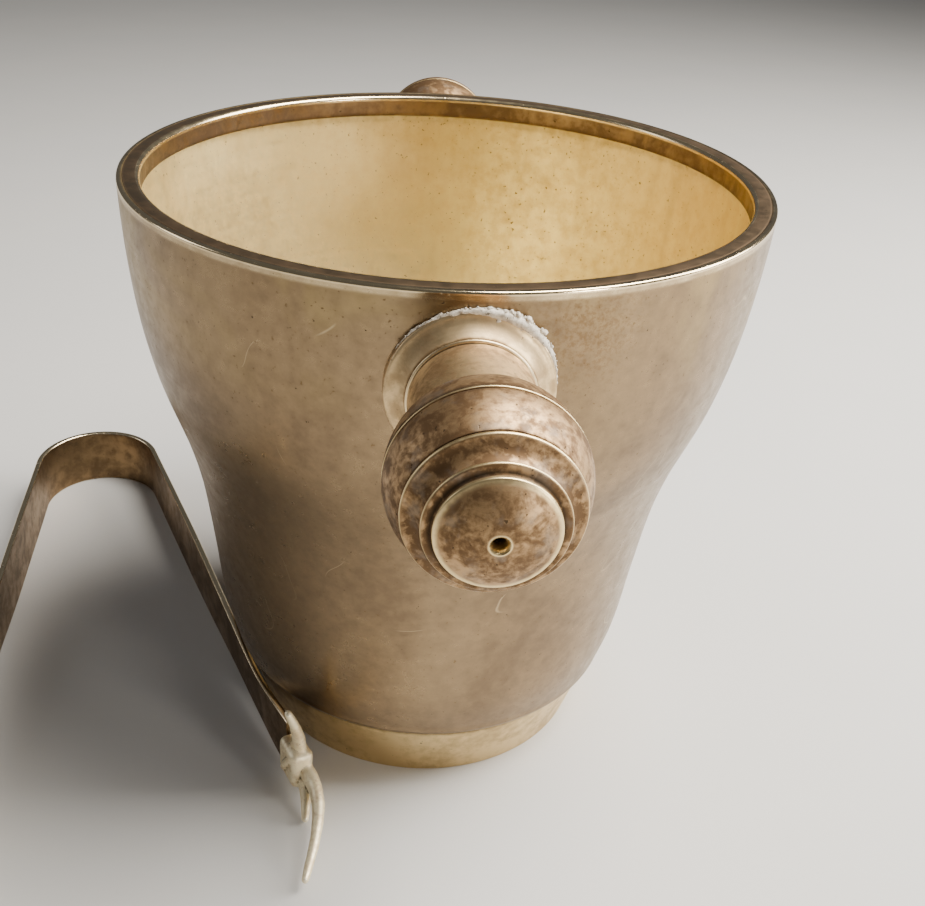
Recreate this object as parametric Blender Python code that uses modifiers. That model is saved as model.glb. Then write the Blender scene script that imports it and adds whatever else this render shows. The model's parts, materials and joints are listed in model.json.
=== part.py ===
"""A small brass ice bucket with two turned knob handles, and its spring tongs with claw ends.

Everything is in metres with +Z up. The bucket stands on its foot ring and the tongs lie beside it
on the edge of their strip. The set is centred over the origin, with its lowest point at z = 0.
"""
import math

import bmesh
import bpy
from mathutils import Matrix, Vector

MM = 0.001

# ---------------------------------------------------------------- driving dimensions
GAP = 0.3 * MM                     # clearance between two pieces that touch

# Bucket body: a spun shell, flat bottomed, flaring from its base to its rim
HEIGHT = 138.0 * MM                # table to rim
RIM_RADIUS = 70.0 * MM
BASE_RADIUS = 48.8 * MM
WALL = 1.2 * MM
FLOOR = 1.6 * MM
BASE_ROUND = 2.2 * MM              # rounded corner between bottom and wall
BODY_CURVE = (                     # share of the body's height, share of the flare
    (0.0, 0.0), (0.1, 0.14), (0.25, 0.24), (0.4, 0.355), (0.5, 0.49), (0.65, 0.765), (0.8, 0.925), (1.0, 1.0))

# Rim ring: a bar soldered inside the mouth
RIM_BAND_HEIGHT = 5.2 * MM
RIM_BAND_THICK = 3.2 * MM
RIM_BAND_ROUND = 1.4 * MM

# Foot ring: a tapering band under the body
FOOT_HEIGHT = 17.0 * MM
FOOT_INSET = 1.4 * MM              # top of the foot inside the body's base
FOOT_TAPER = 4.6 * MM              # how much the foot's radius narrows downwards
FOOT_WALL = 2.2 * MM

# Handles: a rosette soldered to the wall, and a knob screwed to it on a hidden stud
HANDLE_BELOW_RIM = 18.2 * MM
REAR_HANDLE_TURN = 3.0             # degrees by which the rear handle misses being opposite
NECK_RADIUS = 11.1 * MM
NECK_LENGTH = 12.9 * MM
STEP_WIDTH = 2.7 * MM              # concave step from the neck down to the rosette's face
STEP_HEIGHT = 3.0 * MM
ROSETTE_LEDGE = 1.2 * MM           # flat ring of the rosette outside the step
ROSETTE_EDGE = 0.5 * MM            # bevel around that ring
ROSETTE_PROUD = 1.8 * MM           # rosette's face above the wall, at the handle's axis
ROSETTE_DEPTH = 11.25 * MM         # rosette's length behind its face, before it is fitted to the wall
KNOB_RADIUS = 16.0 * MM            # ball
COLLAR_OVERHANG = 0.3 * MM         # knob's collar outside the neck
KNOB_COLLAR_LENGTH = 0.5 * MM
RIDGE_IN = 2.3 * MM                # first bead inside the ball's radius
RIDGE_AHEAD = 1.135 * MM           # and in front of where the ball is as narrow as it
SECOND_RIDGE_IN = 2.8 * MM         # second bead inside the first
COVE_LENGTH = 3.3 * MM             # between the two beads
COVE_DEPTH = 0.9 * MM
RIDGE_HALF_WIDTH = 0.55 * MM
RIDGE_FLAT = 0.4                   # share of a bead's half width that is flat
END_IN = 1.6 * MM                  # end disc inside the second bead
END_STEP = 1.6 * MM                # and in front of it
END_EDGE = 0.6 * MM                # height of the disc's straight edge
END_DOME = 3.0 * MM
CENTRE_HOLE_RADIUS = 1.1 * MM
CENTRE_HOLE_DEPTH = 4.0 * MM
CENTRE_HOLE_CHAMFER = 0.6 * MM
STUD_RADIUS = 3.0 * MM
STUD_DEPTH = 10.0 * MM             # depth of each bore that the stud sits in

# Tongs: one springy strip, bent into a bow, with a cast claw on each end
STRIP_THICK = 1.6 * MM
BOW_RADIUS = 17.5 * MM             # inside of the bow
ARM_SPREAD = 9.2                   # degrees each arm opens away from the tongs' axis
ARM_LENGTH = 146.0 * MM            # bow to the end of the strip, along the tongs' axis
ARM_FLARE = 1.4 * MM               # how far the end of an arm bends outwards
FLARE_LENGTH = 26.0 * MM           # stretch before the arm's end over which it does so
BOW_WIDTH = 17.8 * MM
NARROW_WIDTH = 11.2 * MM
END_WIDTH = 15.0 * MM
WIDE_UNTIL = 55.0 * MM
NARROW_BEFORE_END = 22.0 * MM      # narrowest place, from the arm's end
HINGE_AT = 22.0 * MM               # where the bow's flexing is gathered into one pivot
TONGS_HEADING = -77.5              # degrees, direction from bow to claws in plan
TONGS_SETBACK = 110.7 * MM         # bow to the point of the axis nearest to the bucket's centre
TONGS_CLEARANCE = 0.6 * MM         # between the arm and the bucket beside it

# Claws: an ankle and three toes
ANKLE_LENGTH = 9.0 * MM
ANKLE_HEIGHT = 10.0 * MM
ANKLE_THICK = 5.6 * MM
ANKLE_BEVEL = 1.5 * MM
ANKLE_OUT = 0.6 * MM               # ankle's middle outside the strip's middle
ANKLE_TURN = 4.0                   # degrees the ankle opens more than the arm
TOE_RADIUS = 2.3 * MM
TOE_TIP_SHARE = 0.42               # radius at a toe's tip as a share of that at its root
TOE_CURL = 2.2                     # power by which a toe's hook grows along it
TOE_BULGE = 0.3                    # outward bulge before the hook, as a share of the hook
TOE_SECTIONS = 7
TOES = (                           # length, degrees above the strip's line, inward hook
    (29.0 * MM, -10.0, 12.0 * MM),
    (16.5 * MM, 74.0, 4.6 * MM),
    (13.5 * MM, -34.0, 2.6 * MM))

# Facets
BODY_STEPS = 48
HANDLE_STEPS = 32
STUD_STEPS = 16
CURVE_STEPS = 12
BOW_STEPS = 10
ARM_STEPS = 12


# ---------------------------------------------------------------- scene and small helpers
def clear_scene():
    for obj in list(bpy.data.objects):
        bpy.data.objects.remove(obj)


def new_collection(name):
    collection = bpy.data.collections.new(name)
    bpy.context.scene.collection.children.link(collection)
    return collection


def metal(name, colour, roughness):
    material = bpy.data.materials.new(name)
    material.use_nodes = True
    shader = material.node_tree.nodes["Principled BSDF"]
    shader.inputs["Base Color"].default_value = (*colour, 1.0)
    shader.inputs["Metallic"].default_value = 1.0
    shader.inputs["Roughness"].default_value = roughness
    return material


def empty(name, parent=None, location=(0, 0, 0), turn=None):
    obj = bpy.data.objects.new(name, None)
    bpy.context.scene.collection.objects.link(obj)
    obj.parent = parent
    obj.location = location
    if turn:
        obj.rotation_euler = turn
    return obj


def add_object(name, mesh, collection, parent, colour, roughness):
    obj = bpy.data.objects.new(name, mesh)
    collection.objects.link(obj)
    obj.parent = parent
    mesh.materials.append(metal(name + "_metal", colour, roughness))
    return obj


def outline_mesh(name, outline, closed):
    count = len(outline)
    edges = [(i, i + 1) for i in range(count - 1)]
    if closed:
        edges.append((count - 1, 0))
    mesh = bpy.data.meshes.new(name)
    mesh.from_pydata([(radius, 0.0, z) for radius, z in outline], edges, [])
    return mesh


def turned(name, outline, steps, closed, collection, parent, colour=(0.6, 0.5, 0.3), roughness=0.4):
    """Spin an outline of (radius, z) points about Z; it runs down the outer side."""
    obj = add_object(name, outline_mesh(name, outline, closed), collection, parent, colour, roughness)
    screw = obj.modifiers.new("turn", "SCREW")
    screw.axis = "Z"
    screw.steps = steps
    screw.render_steps = steps
    screw.use_merge_vertices = True
    screw.merge_threshold = 0.00001
    screw.use_smooth_shade = True
    return obj


def hide_cutter(obj):
    obj.hide_render = True
    obj.display_type = "WIRE"


def arc(centre_r, centre_z, radius, start, end, steps):
    """Points on a circle in the (radius, z) plane; angles in degrees from +radius towards +z."""
    points = []
    for i in range(steps + 1):
        angle = math.radians(start + (end - start) * i / steps)
        points.append((centre_r + radius * math.cos(angle), centre_z + radius * math.sin(angle)))
    return points


def smooth_step(t):
    t = min(max(t, 0.0), 1.0)
    return t * t * (3.0 - 2.0 * t)


# ---------------------------------------------------------------- bucket
BODY_BOTTOM = FOOT_HEIGHT + GAP
FOOT_TOP_RADIUS = BASE_RADIUS - FOOT_INSET
FOOT_BOTTOM_RADIUS = FOOT_TOP_RADIUS - FOOT_TAPER
RIM_TOP_ROUND = 0.4 * WALL         # rounding of the wall's own top edges
RIM_SLOPE_SHARE = 0.25             # how far the flare straightens up at the rim


def flare_share(t):
    """Smooth curve through BODY_CURVE, by cubic Hermite pieces with averaged slopes."""
    knots = BODY_CURVE
    slopes = []
    for i in range(len(knots)):
        before = knots[max(i - 1, 0)]
        after = knots[min(i + 1, len(knots) - 1)]
        slopes.append((after[1] - before[1]) / (after[0] - before[0]))
    slopes[-1] *= RIM_SLOPE_SHARE
    for i in range(len(knots) - 1):
        if t <= knots[i + 1][0] or i == len(knots) - 2:
            span = knots[i + 1][0] - knots[i][0]
            u = (t - knots[i][0]) / span
            ease = 3 * u ** 2 - 2 * u ** 3
            between = (1.0 - ease) * knots[i][1] + ease * knots[i + 1][1]
            leave = (u ** 3 - 2 * u ** 2 + u) * slopes[i]
            arrive = (u ** 3 - u ** 2) * slopes[i + 1]
            return between + span * (leave + arrive)


def wall_radius(z):
    """Outer radius of the bucket's wall at height z."""
    share = flare_share((z - BODY_BOTTOM) / (HEIGHT - BODY_BOTTOM))
    return BASE_RADIUS + (RIM_RADIUS - BASE_RADIUS) * share


def wall_points(offset, bottom, top):
    """The wall's outline from top to bottom, moved outwards by offset."""
    heights = [top + (bottom - top) * i / CURVE_STEPS for i in range(CURVE_STEPS + 1)]
    return [(wall_radius(z) + offset, z) for z in heights]


def base_corner(offset):
    """Rounded corner from the wall's foot to the flat bottom."""
    radius = BASE_ROUND
    centre_r = wall_radius(BODY_BOTTOM + BASE_ROUND) - BASE_ROUND
    return arc(centre_r, BODY_BOTTOM + BASE_ROUND, radius + offset, 0.0, -90.0, 3)


def make_body(collection, parent):
    inner_floor = BODY_BOTTOM + FLOOR
    inner = wall_points(-WALL, inner_floor + BASE_ROUND, HEIGHT - RIM_TOP_ROUND)[::-1]
    corner = (wall_radius(inner_floor + BASE_ROUND) - WALL - BASE_ROUND, inner_floor)
    outer = wall_points(0.0, BODY_BOTTOM + BASE_ROUND, HEIGHT - RIM_TOP_ROUND)
    rim = [(RIM_RADIUS - WALL + RIM_TOP_ROUND, HEIGHT), (RIM_RADIUS - RIM_TOP_ROUND, HEIGHT)]
    outline = [(0.0, inner_floor), corner] + inner + rim + outer + base_corner(0.0)[1:]
    outline.append((0.0, BODY_BOTTOM))
    return turned("bucket_body", outline, BODY_STEPS, False, collection, parent, (0.45, 0.37, 0.25), 0.38)


def make_rim_ring(collection, parent):
    outer = RIM_RADIUS - WALL - GAP
    inner = outer - RIM_BAND_THICK
    bottom = HEIGHT - RIM_BAND_HEIGHT
    outer_bottom = wall_radius(bottom) - WALL - GAP
    outline = arc(inner + RIM_BAND_ROUND, HEIGHT - RIM_BAND_ROUND, RIM_BAND_ROUND, 180.0, 90.0, 3)
    outline += [(outer, HEIGHT), (outer_bottom, bottom), (inner, bottom)]
    return turned("rim_ring", outline, BODY_STEPS, True, collection, parent, (0.5, 0.42, 0.28), 0.35)


def make_foot_ring(collection, parent):
    outline = [(FOOT_TOP_RADIUS, FOOT_HEIGHT), (FOOT_BOTTOM_RADIUS, 0.0),
               (FOOT_BOTTOM_RADIUS - FOOT_WALL, 0.0), (FOOT_TOP_RADIUS - FOOT_WALL, FOOT_HEIGHT)]
    return turned("foot_ring", outline, BODY_STEPS, True, collection, parent, (0.6, 0.49, 0.28), 0.35)


# ---------------------------------------------------------------- handles
HANDLE_HEIGHT = HEIGHT - HANDLE_BELOW_RIM
ROSETTE_RADIUS = NECK_RADIUS + STEP_WIDTH + ROSETTE_LEDGE
KNOB_COLLAR_RADIUS = NECK_RADIUS + COLLAR_OVERHANG
RIDGE_RADIUS = KNOB_RADIUS - RIDGE_IN
SECOND_RIDGE_RADIUS = RIDGE_RADIUS - SECOND_RIDGE_IN
END_RADIUS = SECOND_RIDGE_RADIUS - END_IN

# Places along a handle's own axis, from the bucket's axis outwards
ROSETTE_FACE = wall_radius(HANDLE_HEIGHT) + ROSETTE_PROUD
NECK_END = ROSETTE_FACE + STEP_HEIGHT + NECK_LENGTH
KNOB_BACK = NECK_END + GAP
BALL_CENTRE = KNOB_BACK + KNOB_COLLAR_LENGTH + math.sqrt(KNOB_RADIUS ** 2 - KNOB_COLLAR_RADIUS ** 2)
RIDGE_AT = BALL_CENTRE + math.sqrt(KNOB_RADIUS ** 2 - RIDGE_RADIUS ** 2) + RIDGE_AHEAD
SECOND_RIDGE_AT = RIDGE_AT + COVE_LENGTH
END_AT = SECOND_RIDGE_AT + END_STEP
BORE_RADIUS = STUD_RADIUS + GAP


def make_wall_cutter(collection, parent):
    """The bucket's outer shape grown by the gap; it shapes the back of each rosette."""
    low = BODY_BOTTOM + BASE_ROUND
    outline = [(0.0, HEIGHT + GAP)] + wall_points(GAP, low, HEIGHT + GAP) + [(0.0, low)]
    cutter = turned("wall_cutter", outline, BODY_STEPS, False, collection, parent)
    hide_cutter(cutter)
    return cutter


def rosette_outline():
    """From the blind bore, over the neck and the concave step, down to the back of the disc."""
    back = ROSETTE_FACE - ROSETTE_DEPTH
    bore_end = NECK_END - STUD_DEPTH
    outline = [(0.0, bore_end), (BORE_RADIUS, bore_end), (BORE_RADIUS, NECK_END), (NECK_RADIUS, NECK_END)]
    for i in range(4):
        angle = math.radians(90.0 * i / 3)
        radius = NECK_RADIUS + STEP_WIDTH * (1.0 - math.cos(angle))
        outline.append((radius, ROSETTE_FACE + STEP_HEIGHT * (1.0 - math.sin(angle))))
    outline.append((ROSETTE_RADIUS - ROSETTE_EDGE, ROSETTE_FACE))
    outline.append((ROSETTE_RADIUS, ROSETTE_FACE - ROSETTE_EDGE))
    outline += [(ROSETTE_RADIUS, back), (0.0, back)]
    return outline


def ridge(radius, at):
    """A small rounded bead around the knob, from front to back."""
    half = RIDGE_HALF_WIDTH
    flat = RIDGE_FLAT * half
    return [(radius - half, at + half), (radius, at + flat), (radius, at - flat), (radius - half, at - half)]


def cove_middle(front, back):
    """The deepest point of the hollow between two turned edges."""
    return ((front[0] + back[0] - COVE_DEPTH) / 2, (front[1] + back[1] - COVE_DEPTH) / 2)


def knob_outline():
    """From the lathe's centre mark over the end, beads and ball, and back up the bore."""
    hole = CENTRE_HOLE_RADIUS
    mouth = hole + CENTRE_HOLE_CHAMFER
    top = END_AT + END_DOME
    outline = [(0.0, top - CENTRE_HOLE_DEPTH), (hole, top - CENTRE_HOLE_DEPTH)]
    outline.append((hole, top - CENTRE_HOLE_CHAMFER))
    for i in range(4):
        radius = mouth + (END_RADIUS - mouth) * i / 3
        outline.append((radius, END_AT + END_DOME * (1.0 - (radius / END_RADIUS) ** 2)))
    outline.append((END_RADIUS, END_AT - END_EDGE))
    second = ridge(SECOND_RIDGE_RADIUS, SECOND_RIDGE_AT)
    first = ridge(RIDGE_RADIUS, RIDGE_AT)
    outline += second + [cove_middle(second[-1], first[0])] + first
    front = math.degrees(math.asin((RIDGE_AT - 2 * RIDGE_HALF_WIDTH - BALL_CENTRE) / KNOB_RADIUS))
    back = -math.degrees(math.acos(KNOB_COLLAR_RADIUS / KNOB_RADIUS))
    outline += arc(0.0, BALL_CENTRE, KNOB_RADIUS, front, back, 8)
    bore_end = KNOB_BACK + STUD_DEPTH
    outline += [(KNOB_COLLAR_RADIUS, KNOB_BACK), (BORE_RADIUS, KNOB_BACK)]
    outline += [(BORE_RADIUS, bore_end), (0.0, bore_end)]
    return outline


def stud_outline():
    low = NECK_END - STUD_DEPTH + GAP
    high = KNOB_BACK + STUD_DEPTH - GAP
    return [(0.0, high), (STUD_RADIUS, high), (STUD_RADIUS, low), (0.0, low)]


def make_handle(side, heading, cutter, collection, parent):
    """One handle; heading is its direction in plan, in degrees, and its own axis is local Z."""
    turn = (math.radians(90.0), 0.0, math.radians(heading + 90.0))
    axis = empty(side + "_handle_axis", parent, (0.0, 0.0, HANDLE_HEIGHT), turn)
    rosette = turned(side + "_handle_rosette", rosette_outline(), HANDLE_STEPS, False, collection, axis,
                     (0.58, 0.45, 0.26), 0.35)
    fit = rosette.modifiers.new("fit_to_wall", "BOOLEAN")
    fit.operation = "DIFFERENCE"
    fit.object = cutter
    turned(side + "_handle_knob", knob_outline(), HANDLE_STEPS, False, collection, axis,
           (0.38, 0.27, 0.16), 0.42)
    turned(side + "_handle_stud", stud_outline(), STUD_STEPS, False, collection, axis,
           (0.6, 0.48, 0.25), 0.4)


# ---------------------------------------------------------------- tongs
ARC_END_ANGLE = 90.0 - ARM_SPREAD
ARM_SLOPE = math.tan(math.radians(ARM_SPREAD))
ARC_END_S = BOW_RADIUS * (1.0 - math.sin(math.radians(ARM_SPREAD)))
ARC_END_SIDE = BOW_RADIUS * math.cos(math.radians(ARM_SPREAD))
FLARE_FROM = ARM_LENGTH - FLARE_LENGTH
NARROW_AT = ARM_LENGTH - NARROW_BEFORE_END


def half_gap(s):
    """Distance of an arm's inner face from the tongs' axis, s from the inside of the bow."""
    flare = max(s - FLARE_FROM, 0.0) / FLARE_LENGTH
    return ARC_END_SIDE + (s - ARC_END_S) * ARM_SLOPE + ARM_FLARE * flare ** 2


def strip_width(s):
    """Width of the strip: wide at the bow, narrow before the claw and wider again at it."""
    if s < NARROW_AT:
        share = smooth_step((s - WIDE_UNTIL) / (NARROW_AT - WIDE_UNTIL))
        return BOW_WIDTH + (NARROW_WIDTH - BOW_WIDTH) * share
    share = smooth_step((s - NARROW_AT) / NARROW_BEFORE_END)
    return NARROW_WIDTH + (END_WIDTH - NARROW_WIDTH) * share


def bow_path():
    """Inner face of the bow from the left pivot round to the right pivot, as (s, sideways)."""
    end = HINGE_AT - GAP / 2
    side = [(end, half_gap(end))]
    for i in range(BOW_STEPS):
        angle = math.radians(ARC_END_ANGLE * (1.0 - i / BOW_STEPS))
        side.append((BOW_RADIUS * (1.0 - math.cos(angle)), BOW_RADIUS * math.sin(angle)))
    left = [(s, -w) for s, w in side]
    return left + [(0.0, 0.0)] + side[::-1]


def arm_path(side):
    start = HINGE_AT + GAP / 2
    stations = [start + (ARM_LENGTH - start) * i / ARM_STEPS for i in range(ARM_STEPS + 1)]
    return [(s, side * half_gap(s)) for s in stations]


def make_strip(name, path, outward, origin, collection, parent):
    """A stretch of the strip, standing on its edge; outward gives the side its thickness goes to."""
    vertices = []
    for s, w in path:
        half = strip_width(s) / 2
        for z in (-half, 0.0, half):
            vertices.append((s - origin[0], w - origin[1], z))
    faces = []
    for i in range(len(path) - 1):
        for j in range(2):
            a = 3 * i + j
            faces.append((a, a + 3, a + 4, a + 1))
    mesh = bpy.data.meshes.new(name)
    mesh.from_pydata(vertices, [], faces)
    obj = add_object(name, mesh, collection, parent, (0.4, 0.28, 0.16), 0.4)
    solid = obj.modifiers.new("thickness", "SOLIDIFY")
    solid.thickness = STRIP_THICK
    solid.offset = outward
    solid.use_even_offset = True
    return obj


def toe_mesh(length, rise, hook, side):
    """A tapering, inward-hooked toe as one closed mesh, starting inside the ankle."""
    curve = bpy.data.curves.new("toe", "CURVE")
    curve.dimensions = "3D"
    curve.bevel_depth = TOE_RADIUS
    curve.bevel_resolution = 2
    curve.use_fill_caps = True
    spline = curve.splines.new("POLY")
    spline.points.add(TOE_SECTIONS - 1)
    climb = math.radians(rise)
    for i, point in enumerate(spline.points):
        t = i / (TOE_SECTIONS - 1)
        bulge = TOE_BULGE * hook * math.sin(math.pi * t) * (1.0 - t)
        inward = hook * t ** TOE_CURL - bulge
        point.co = (length * t * math.cos(climb), -side * inward, length * t * math.sin(climb), 1.0)
        point.radius = 1.0 + (TOE_TIP_SHARE - 1.0) * t
    obj = bpy.data.objects.new("toe", curve)
    bpy.context.scene.collection.objects.link(obj)
    bpy.context.view_layer.update()
    mesh = bpy.data.meshes.new_from_object(obj.evaluated_get(bpy.context.evaluated_depsgraph_get()))
    bpy.data.objects.remove(obj)
    shape = bmesh.new()
    shape.from_mesh(mesh)
    bmesh.ops.remove_doubles(shape, verts=shape.verts, dist=0.00001)
    bmesh.ops.recalc_face_normals(shape, faces=shape.faces)
    shape.to_mesh(mesh)
    shape.free()
    return mesh


def make_claw(name, side, origin, collection, cutters, parent):
    """Ankle and three toes, joined into one casting that butts against the strip's end."""
    ankle_centre = ARM_LENGTH + GAP + ANKLE_LENGTH / 2
    sideways = side * (half_gap(ARM_LENGTH) + STRIP_THICK / 2 + ANKLE_OUT)
    turn = Matrix.Rotation(math.radians(side * (ARM_SPREAD + ANKLE_TURN)), 4, "Z")
    place = Matrix.Translation((ankle_centre - origin[0], sideways - origin[1], 0.0)) @ turn
    shape = bmesh.new()
    bmesh.ops.create_cube(shape, size=1.0)
    bmesh.ops.scale(shape, vec=(ANKLE_LENGTH, ANKLE_THICK, ANKLE_HEIGHT), verts=shape.verts)
    bmesh.ops.bevel(shape, geom=shape.edges, offset=ANKLE_BEVEL, segments=2, profile=0.5, affect="EDGES")
    mesh = bpy.data.meshes.new(name)
    shape.to_mesh(mesh)
    shape.free()
    claw = add_object(name, mesh, collection, parent, (0.75, 0.66, 0.45), 0.4)
    claw.matrix_local = place
    for index, (length, rise, hook) in enumerate(TOES):
        toe = bpy.data.objects.new("%s_toe_%d" % (name, index + 1), toe_mesh(length, rise, hook, side))
        cutters.objects.link(toe)
        hide_cutter(toe)
        toe.parent = claw
        toe.location = (0.0, 0.0, 0.0)
        join = claw.modifiers.new("toe_%d" % (index + 1), "BOOLEAN")
        join.operation = "UNION"
        join.object = toe
    return claw


def bucket_reach(z):
    """Widest radius of the bucket at or below height z."""
    if z < FOOT_HEIGHT:
        return FOOT_BOTTOM_RADIUS + (FOOT_TOP_RADIUS - FOOT_BOTTOM_RADIUS) * z / FOOT_HEIGHT
    return max(FOOT_TOP_RADIUS, wall_radius(max(z, BODY_BOTTOM + BASE_ROUND)))


def tongs_rest_height():
    """Height of the strip's middle line: the bow's edge or the lowest toe carries the tongs."""
    drops = [BOW_WIDTH / 2, ANKLE_HEIGHT / 2]
    for length, rise, _ in TOES:
        drops.append(TOE_TIP_SHARE * TOE_RADIUS - length * math.sin(math.radians(rise)))
    return max(drops)


def tongs_place():
    """Centre of the inside of the bow in plan, with the right arm just clear of the bucket."""
    spread = math.radians(ARM_SPREAD)
    arm_top = tongs_rest_height() + strip_width(TONGS_SETBACK) / 2
    clear = bucket_reach(arm_top) + TONGS_CLEARANCE + STRIP_THICK
    across = clear / math.cos(spread) + half_gap(0.0) + TONGS_SETBACK * ARM_SLOPE
    heading = math.radians(TONGS_HEADING)
    along = Vector((math.cos(heading), math.sin(heading), 0.0))
    sideways = Vector((-along.y, along.x, 0.0))
    return -TONGS_SETBACK * along - across * sideways


def make_tongs(collection, cutters, parent):
    place = tongs_place()
    turn = (0.0, 0.0, math.radians(TONGS_HEADING))
    centre = empty("tongs_centre", parent, (place.x, place.y, tongs_rest_height()), turn)
    make_strip("tongs_bow", bow_path(), -1.0, (0.0, 0.0), collection, centre)
    for side_name, side in (("right", 1.0), ("left", -1.0)):
        pivot = (HINGE_AT, side * (half_gap(HINGE_AT) + STRIP_THICK / 2))
        hinge = empty("tongs_%s_pivot" % side_name, centre, (pivot[0], pivot[1], 0.0))
        make_strip("tongs_%s_arm" % side_name, arm_path(side), -side, pivot, collection, hinge)
        make_claw("tongs_%s_claw" % side_name, side, pivot, collection, cutters, hinge)


# ---------------------------------------------------------------- the set
def centre_on_base(collection, root):
    """Move the set so that its box is centred over the origin and stands at z = 0."""
    bpy.context.view_layer.update()
    graph = bpy.context.evaluated_depsgraph_get()
    points = []
    for obj in collection.objects:
        shape = obj.evaluated_get(graph)
        points += [shape.matrix_world @ vertex.co for vertex in shape.data.vertices]
    low = [min(point[axis] for point in points) for axis in range(3)]
    high = [max(point[axis] for point in points) for axis in range(3)]
    root.location = (-(low[0] + high[0]) / 2, -(low[1] + high[1]) / 2, -low[2])
    bpy.context.view_layer.update()
    print("set moved by", [round(value / MM, 3) for value in root.location], "mm")


def main():
    clear_scene()
    parts = new_collection("ice_bucket_and_tongs")
    cutters = new_collection("cutters")
    root = empty("set_origin")
    make_body(parts, root)
    make_rim_ring(parts, root)
    make_foot_ring(parts, root)
    wall_cutter = make_wall_cutter(cutters, root)
    make_handle("front", -90.0, wall_cutter, parts, root)
    make_handle("rear", 90.0 - REAR_HANDLE_TURN, wall_cutter, parts, root)
    make_tongs(parts, cutters, root)
    centre_on_base(parts, root)


main()
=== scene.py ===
# %% [markdown]
# # An aged brass ice bucket and its claw tongs
#
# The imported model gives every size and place. This script leaves that model where it is and builds
# the visible surfaces around it: smooth turned shells, a swept spring strip, cast claws and a worn
# brass finish for each. Everything is in metres, with +Z up.

# %% Load the frame
import json
import math

import bmesh
import bpy
from mathutils import Matrix, Vector, noise


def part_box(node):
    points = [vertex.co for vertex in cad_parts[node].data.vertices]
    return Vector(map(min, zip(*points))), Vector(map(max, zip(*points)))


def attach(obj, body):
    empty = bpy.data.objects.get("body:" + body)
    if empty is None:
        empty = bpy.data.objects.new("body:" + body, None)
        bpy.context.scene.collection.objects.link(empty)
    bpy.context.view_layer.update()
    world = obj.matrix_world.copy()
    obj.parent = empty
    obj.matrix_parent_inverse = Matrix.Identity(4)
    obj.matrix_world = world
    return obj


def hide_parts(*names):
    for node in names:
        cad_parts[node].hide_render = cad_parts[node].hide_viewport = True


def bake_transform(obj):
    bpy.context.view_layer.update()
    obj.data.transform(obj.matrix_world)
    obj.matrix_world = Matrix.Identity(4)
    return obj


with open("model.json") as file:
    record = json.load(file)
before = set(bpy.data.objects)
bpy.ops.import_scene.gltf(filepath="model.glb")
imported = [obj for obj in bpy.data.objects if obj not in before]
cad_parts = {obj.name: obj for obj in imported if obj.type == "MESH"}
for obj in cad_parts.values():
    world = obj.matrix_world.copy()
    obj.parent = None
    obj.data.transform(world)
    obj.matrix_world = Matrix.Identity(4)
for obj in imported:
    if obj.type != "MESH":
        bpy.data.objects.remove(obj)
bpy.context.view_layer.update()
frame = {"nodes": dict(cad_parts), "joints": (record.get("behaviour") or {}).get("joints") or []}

MM = 0.001

# %% [markdown]
# ## Measuring the frame
#
# The bucket is round, so its axis is the middle of its box. Radii and heights come from the boxes
# of the nodes in the same way. Only the finer sizes, such as a wall thickness or a bead, are named
# here, because a box doesn't hold them.

# %% Sizes from the boxes
body_low, body_high = (Vector(corner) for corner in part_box("bucket_body"))
foot_low, foot_high = (Vector(corner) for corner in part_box("foot_ring"))
knob_low, knob_high = (Vector(corner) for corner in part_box("front_handle_knob"))
AXIS = Vector(((body_low.x + body_high.x) / 2, (body_low.y + body_high.y) / 2, 0.0))
RIM_RADIUS = (body_high.x - body_low.x) / 2
HEIGHT = body_high.z
BODY_BOTTOM = body_low.z
FOOT_TOP_RADIUS = (foot_high.x - foot_low.x) / 2
FOOT_HEIGHT = foot_high.z
HANDLE_HEIGHT = (knob_low.z + knob_high.z) / 2
KNOB_FRONT = AXIS.y - knob_low.y
KNOB_BACK = AXIS.y - knob_high.y
print("bucket axis", AXIS, "rim radius", RIM_RADIUS, "height", HEIGHT)

# %% [markdown]
# ## The camera
#
# The camera stands a little above the bucket's mouth and looks down at about thirty degrees, close
# enough that the mouth opens towards it. It is made first, so that everything else can be judged
# through it.

# %% Camera
CAMERA_FROM_BUCKET = Vector((-21.9, -239.2, 207.6)) * MM
CAMERA_YAW = 3.93
CAMERA_PITCH = 30.63
CAMERA_ROLL = -2.89
CAMERA_LENS = 43.3
CAMERA_SHIFT = 0.060
SENSOR = 36.0


def make_camera():
    yaw, pitch, roll = (math.radians(angle) for angle in (CAMERA_YAW, CAMERA_PITCH, CAMERA_ROLL))
    forward = Vector((math.sin(yaw) * math.cos(pitch), math.cos(yaw) * math.cos(pitch), -math.sin(pitch)))
    level = forward.cross(Vector((0.0, 0.0, 1.0))).normalized()
    down = forward.cross(level)
    right = math.cos(roll) * level + math.sin(roll) * down
    up = right.cross(forward)
    data = bpy.data.cameras.new("camera")
    data.lens = CAMERA_LENS
    data.sensor_width = SENSOR
    data.shift_x = CAMERA_SHIFT
    data.clip_start = 10 * MM
    camera = bpy.data.objects.new("camera", data)
    camera.matrix_world = Matrix((right, up, -forward)).transposed().to_4x4()
    camera.location = AXIS + CAMERA_FROM_BUCKET
    bpy.context.scene.collection.objects.link(camera)
    bpy.context.scene.camera = camera


make_camera()

# %% [markdown]
# ## A socket that does arithmetic
#
# Worn metal is layers of masks: patches, streaks, specks and rubbed edges. Wiring those by hand
# hides the idea, so a small class wraps a socket and lets masks be added, multiplied and compared
# like numbers. A graph makes every other node in one way, for materials and for Geometry Nodes.

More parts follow.
